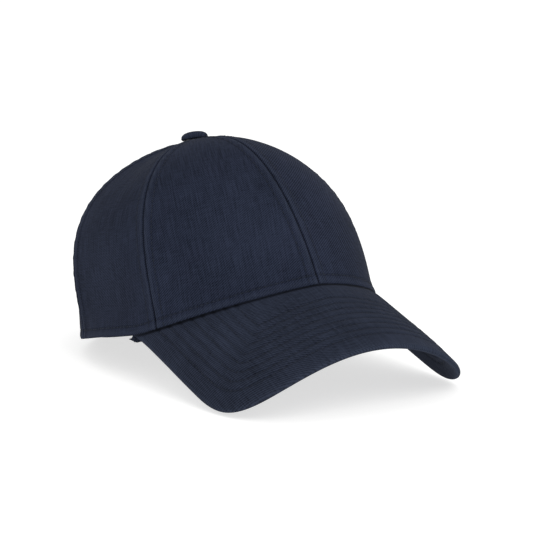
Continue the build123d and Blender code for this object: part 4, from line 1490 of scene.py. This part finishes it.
@dataclass
class Button:
    """The covered button on top: cloth drawn over a metal cap and gathered under its edge."""

    form: CrownForm
    shop: Workshop
    radius: float = 8.2
    height: float = 5.5
    edge: float = 1.35
    roundness: float = 0.8
    drop_share: float = 0.72
    lift: float = 0.15

    def shape(self, around: Array, down: Array) -> Swatch:
        """Points from the crest, down over the edge and in under it."""
        angle = around * TAU
        over = np.clip(down / self.drop_share, 0, 1) * math.pi / 2
        under = np.clip((down - self.drop_share) / (1 - self.drop_share), 0, 1)
        radius = self.radius * np.sin(over) ** self.roundness - 2.6 * ease(under)
        dome = (self.height - self.edge) * np.cos(over) ** self.roundness
        level = self.edge + dome - 1.3 * np.sin(under * math.pi / 2)
        gather = 0.16 * np.cos(13 * angle + 0.8 * np.sin(3 * angle)) * ease((down - 0.62) / 0.15)
        gather = gather + 0.05 * np.cos(6 * angle + 0.5) * ease((down - 0.3) / 0.4)
        radius = np.maximum(radius - 0.08 + gather, 0) * (down > 0)
        x, y, z = radius * np.sin(angle), -radius * np.cos(angle), level + self.lift
        tilt = -math.atan(self.form.top_tilt)
        back, up = y * math.cos(tilt) - z * math.sin(tilt), y * math.sin(tilt) + z * math.cos(tilt)
        top = self.form.point(np.array([0.0]), np.array([self.form.height]))[0]
        wear_and_shade = 0.35 * crest(down - 0.6, 0.2)
        return Swatch(np.stack([x, back, up], axis=-1) + top, np.stack([x, y + 3 * under], axis=-1), wear_and_shade)

    def build(self) -> None:
        """Build the cover."""
        self.shop.piece("twill_button", 96, 40, self.shape, self.shop.finishes.crown, "crown_twill",
                        "button_cover", closed=True)


# ---- hard pieces that stay as CAD made them ----


@dataclass
class Hardware:
    """Metal and plastic pieces of the frame, which keep their meshes and get their finishes."""

    nodes: dict[str, bpy.types.Object]
    finishes: Finishes

    def build(self) -> None:
        """Give each piece its finish."""
        chosen = {
            self.finishes.nickel: ("buckle_frame", "buckle_pin", "buckle_lever"),
            self.finishes.steel: ("button_rivet", "button_shell", "button_back_plate"),
            self.finishes.plastic: ("brim_board",),
        }
        for material, names in chosen.items():
            for name in names:
                materials = self.nodes[name].data.materials
                materials.clear()
                materials.append(material)
                log.info("%s: finished", name)


# ---- the studio ----


@dataclass
class Studio:
    """A plain pale floor, soft light from all round and the camera."""

    azimuth: float = math.radians(-32.97)
    elevation: float = math.radians(10.73)
    roll: float = math.radians(0.53)
    distance: float = 1.3362
    lens: float = 154.7
    target: tuple[float, float, float] = (-0.0012, -0.0215, 0.0633)

    def floor(self) -> None:
        """Lay the floor."""
        bm = bmesh.new()
        bmesh.ops.create_grid(bm, x_segments=1, y_segments=1, size=60.0)
        mesh = bpy.data.meshes.new("floor")
        bm.to_mesh(mesh)
        bm.free()
        floor = bpy.data.objects.new("floor", mesh)
        bpy.context.scene.collection.objects.link(floor)
        glowing = {
            "Base Color": linear(Ink.FLOOR),
            "Emission Color": linear(Ink.GLOW),
            "Emission Strength": 0.66,
            "Roughness": 0.9,
            "Specular IOR Level": 0.04,
        }
        mesh.materials.append(Recipe("lit_acrylic_table").finish(glowing))

    def light(self) -> None:
        """Light the cap from all round, a little more from above and the viewer's left."""
        world = bpy.data.worlds.new("studio")
        bpy.context.scene.world = world
        world.use_nodes = True
        sky = world.node_tree.nodes["Background"]
        sky.inputs[0].default_value = (1.0, 1.0, 1.0, 1.0)
        sky.inputs[1].default_value = 0.8
        panels = (
            ("key_panel", (-0.3, -1.25, 1.4), 1.1, 9.0),
            ("fill_panel", (0.6, -1.3, 0.7), 1.6, 2.0),
            ("top_panel", (0.2, 0.3, 1.8), 1.6, 2.0),
        )
        for name, place, size, power in panels:
            lamp = bpy.data.lights.new(name, "AREA")
            lamp.size = size
            lamp.energy = power
            holder = bpy.data.objects.new(name, lamp)
            holder.location = place
            holder.rotation_mode = "QUATERNION"
            aim = Vector(self.target) - Vector(place)
            holder.rotation_quaternion = aim.to_track_quat("-Z", "Y")
            bpy.context.scene.collection.objects.link(holder)

    def camera(self) -> None:
        """Set the camera at the viewing angle."""
        data = bpy.data.cameras.new("camera")
        data.sensor_width = 36.0
        data.lens = self.lens
        back = Vector(
            (
                math.sin(self.azimuth) * math.cos(self.elevation),
                -math.cos(self.azimuth) * math.cos(self.elevation),
                math.sin(self.elevation),
            )
        )
        holder = bpy.data.objects.new("camera", data)
        holder.location = Vector(self.target) + back * self.distance
        holder.rotation_mode = "QUATERNION"
        holder.rotation_quaternion = Quaternion(back, self.roll) @ (-back).to_track_quat("-Z", "Y")
        bpy.context.scene.collection.objects.link(holder)
        bpy.context.scene.camera = holder

    def build(self) -> None:
        """Set up the whole studio."""
        bpy.context.scene.view_settings.view_transform = "Standard"
        self.floor()
        self.light()
        self.camera()


def main() -> None:
    """Build the cap piece by piece."""
    logging.basicConfig(level=logging.INFO, format="%(name)s %(message)s")
    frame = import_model()
    form = CrownForm()
    shop = Workshop(Stance.from_record(frame["record"]), Finishes())
    Crown(form, shop).build()
    Brim(BrimForm(form), shop).build()
    Sweatband(form, shop).build()
    BackOpening(form, StrapForm(form), shop).build()
    Button(form, shop).build()
    Hardware(frame["nodes"], shop.finishes).build()
    Studio().build()


if __name__ == "__main__":
    main()
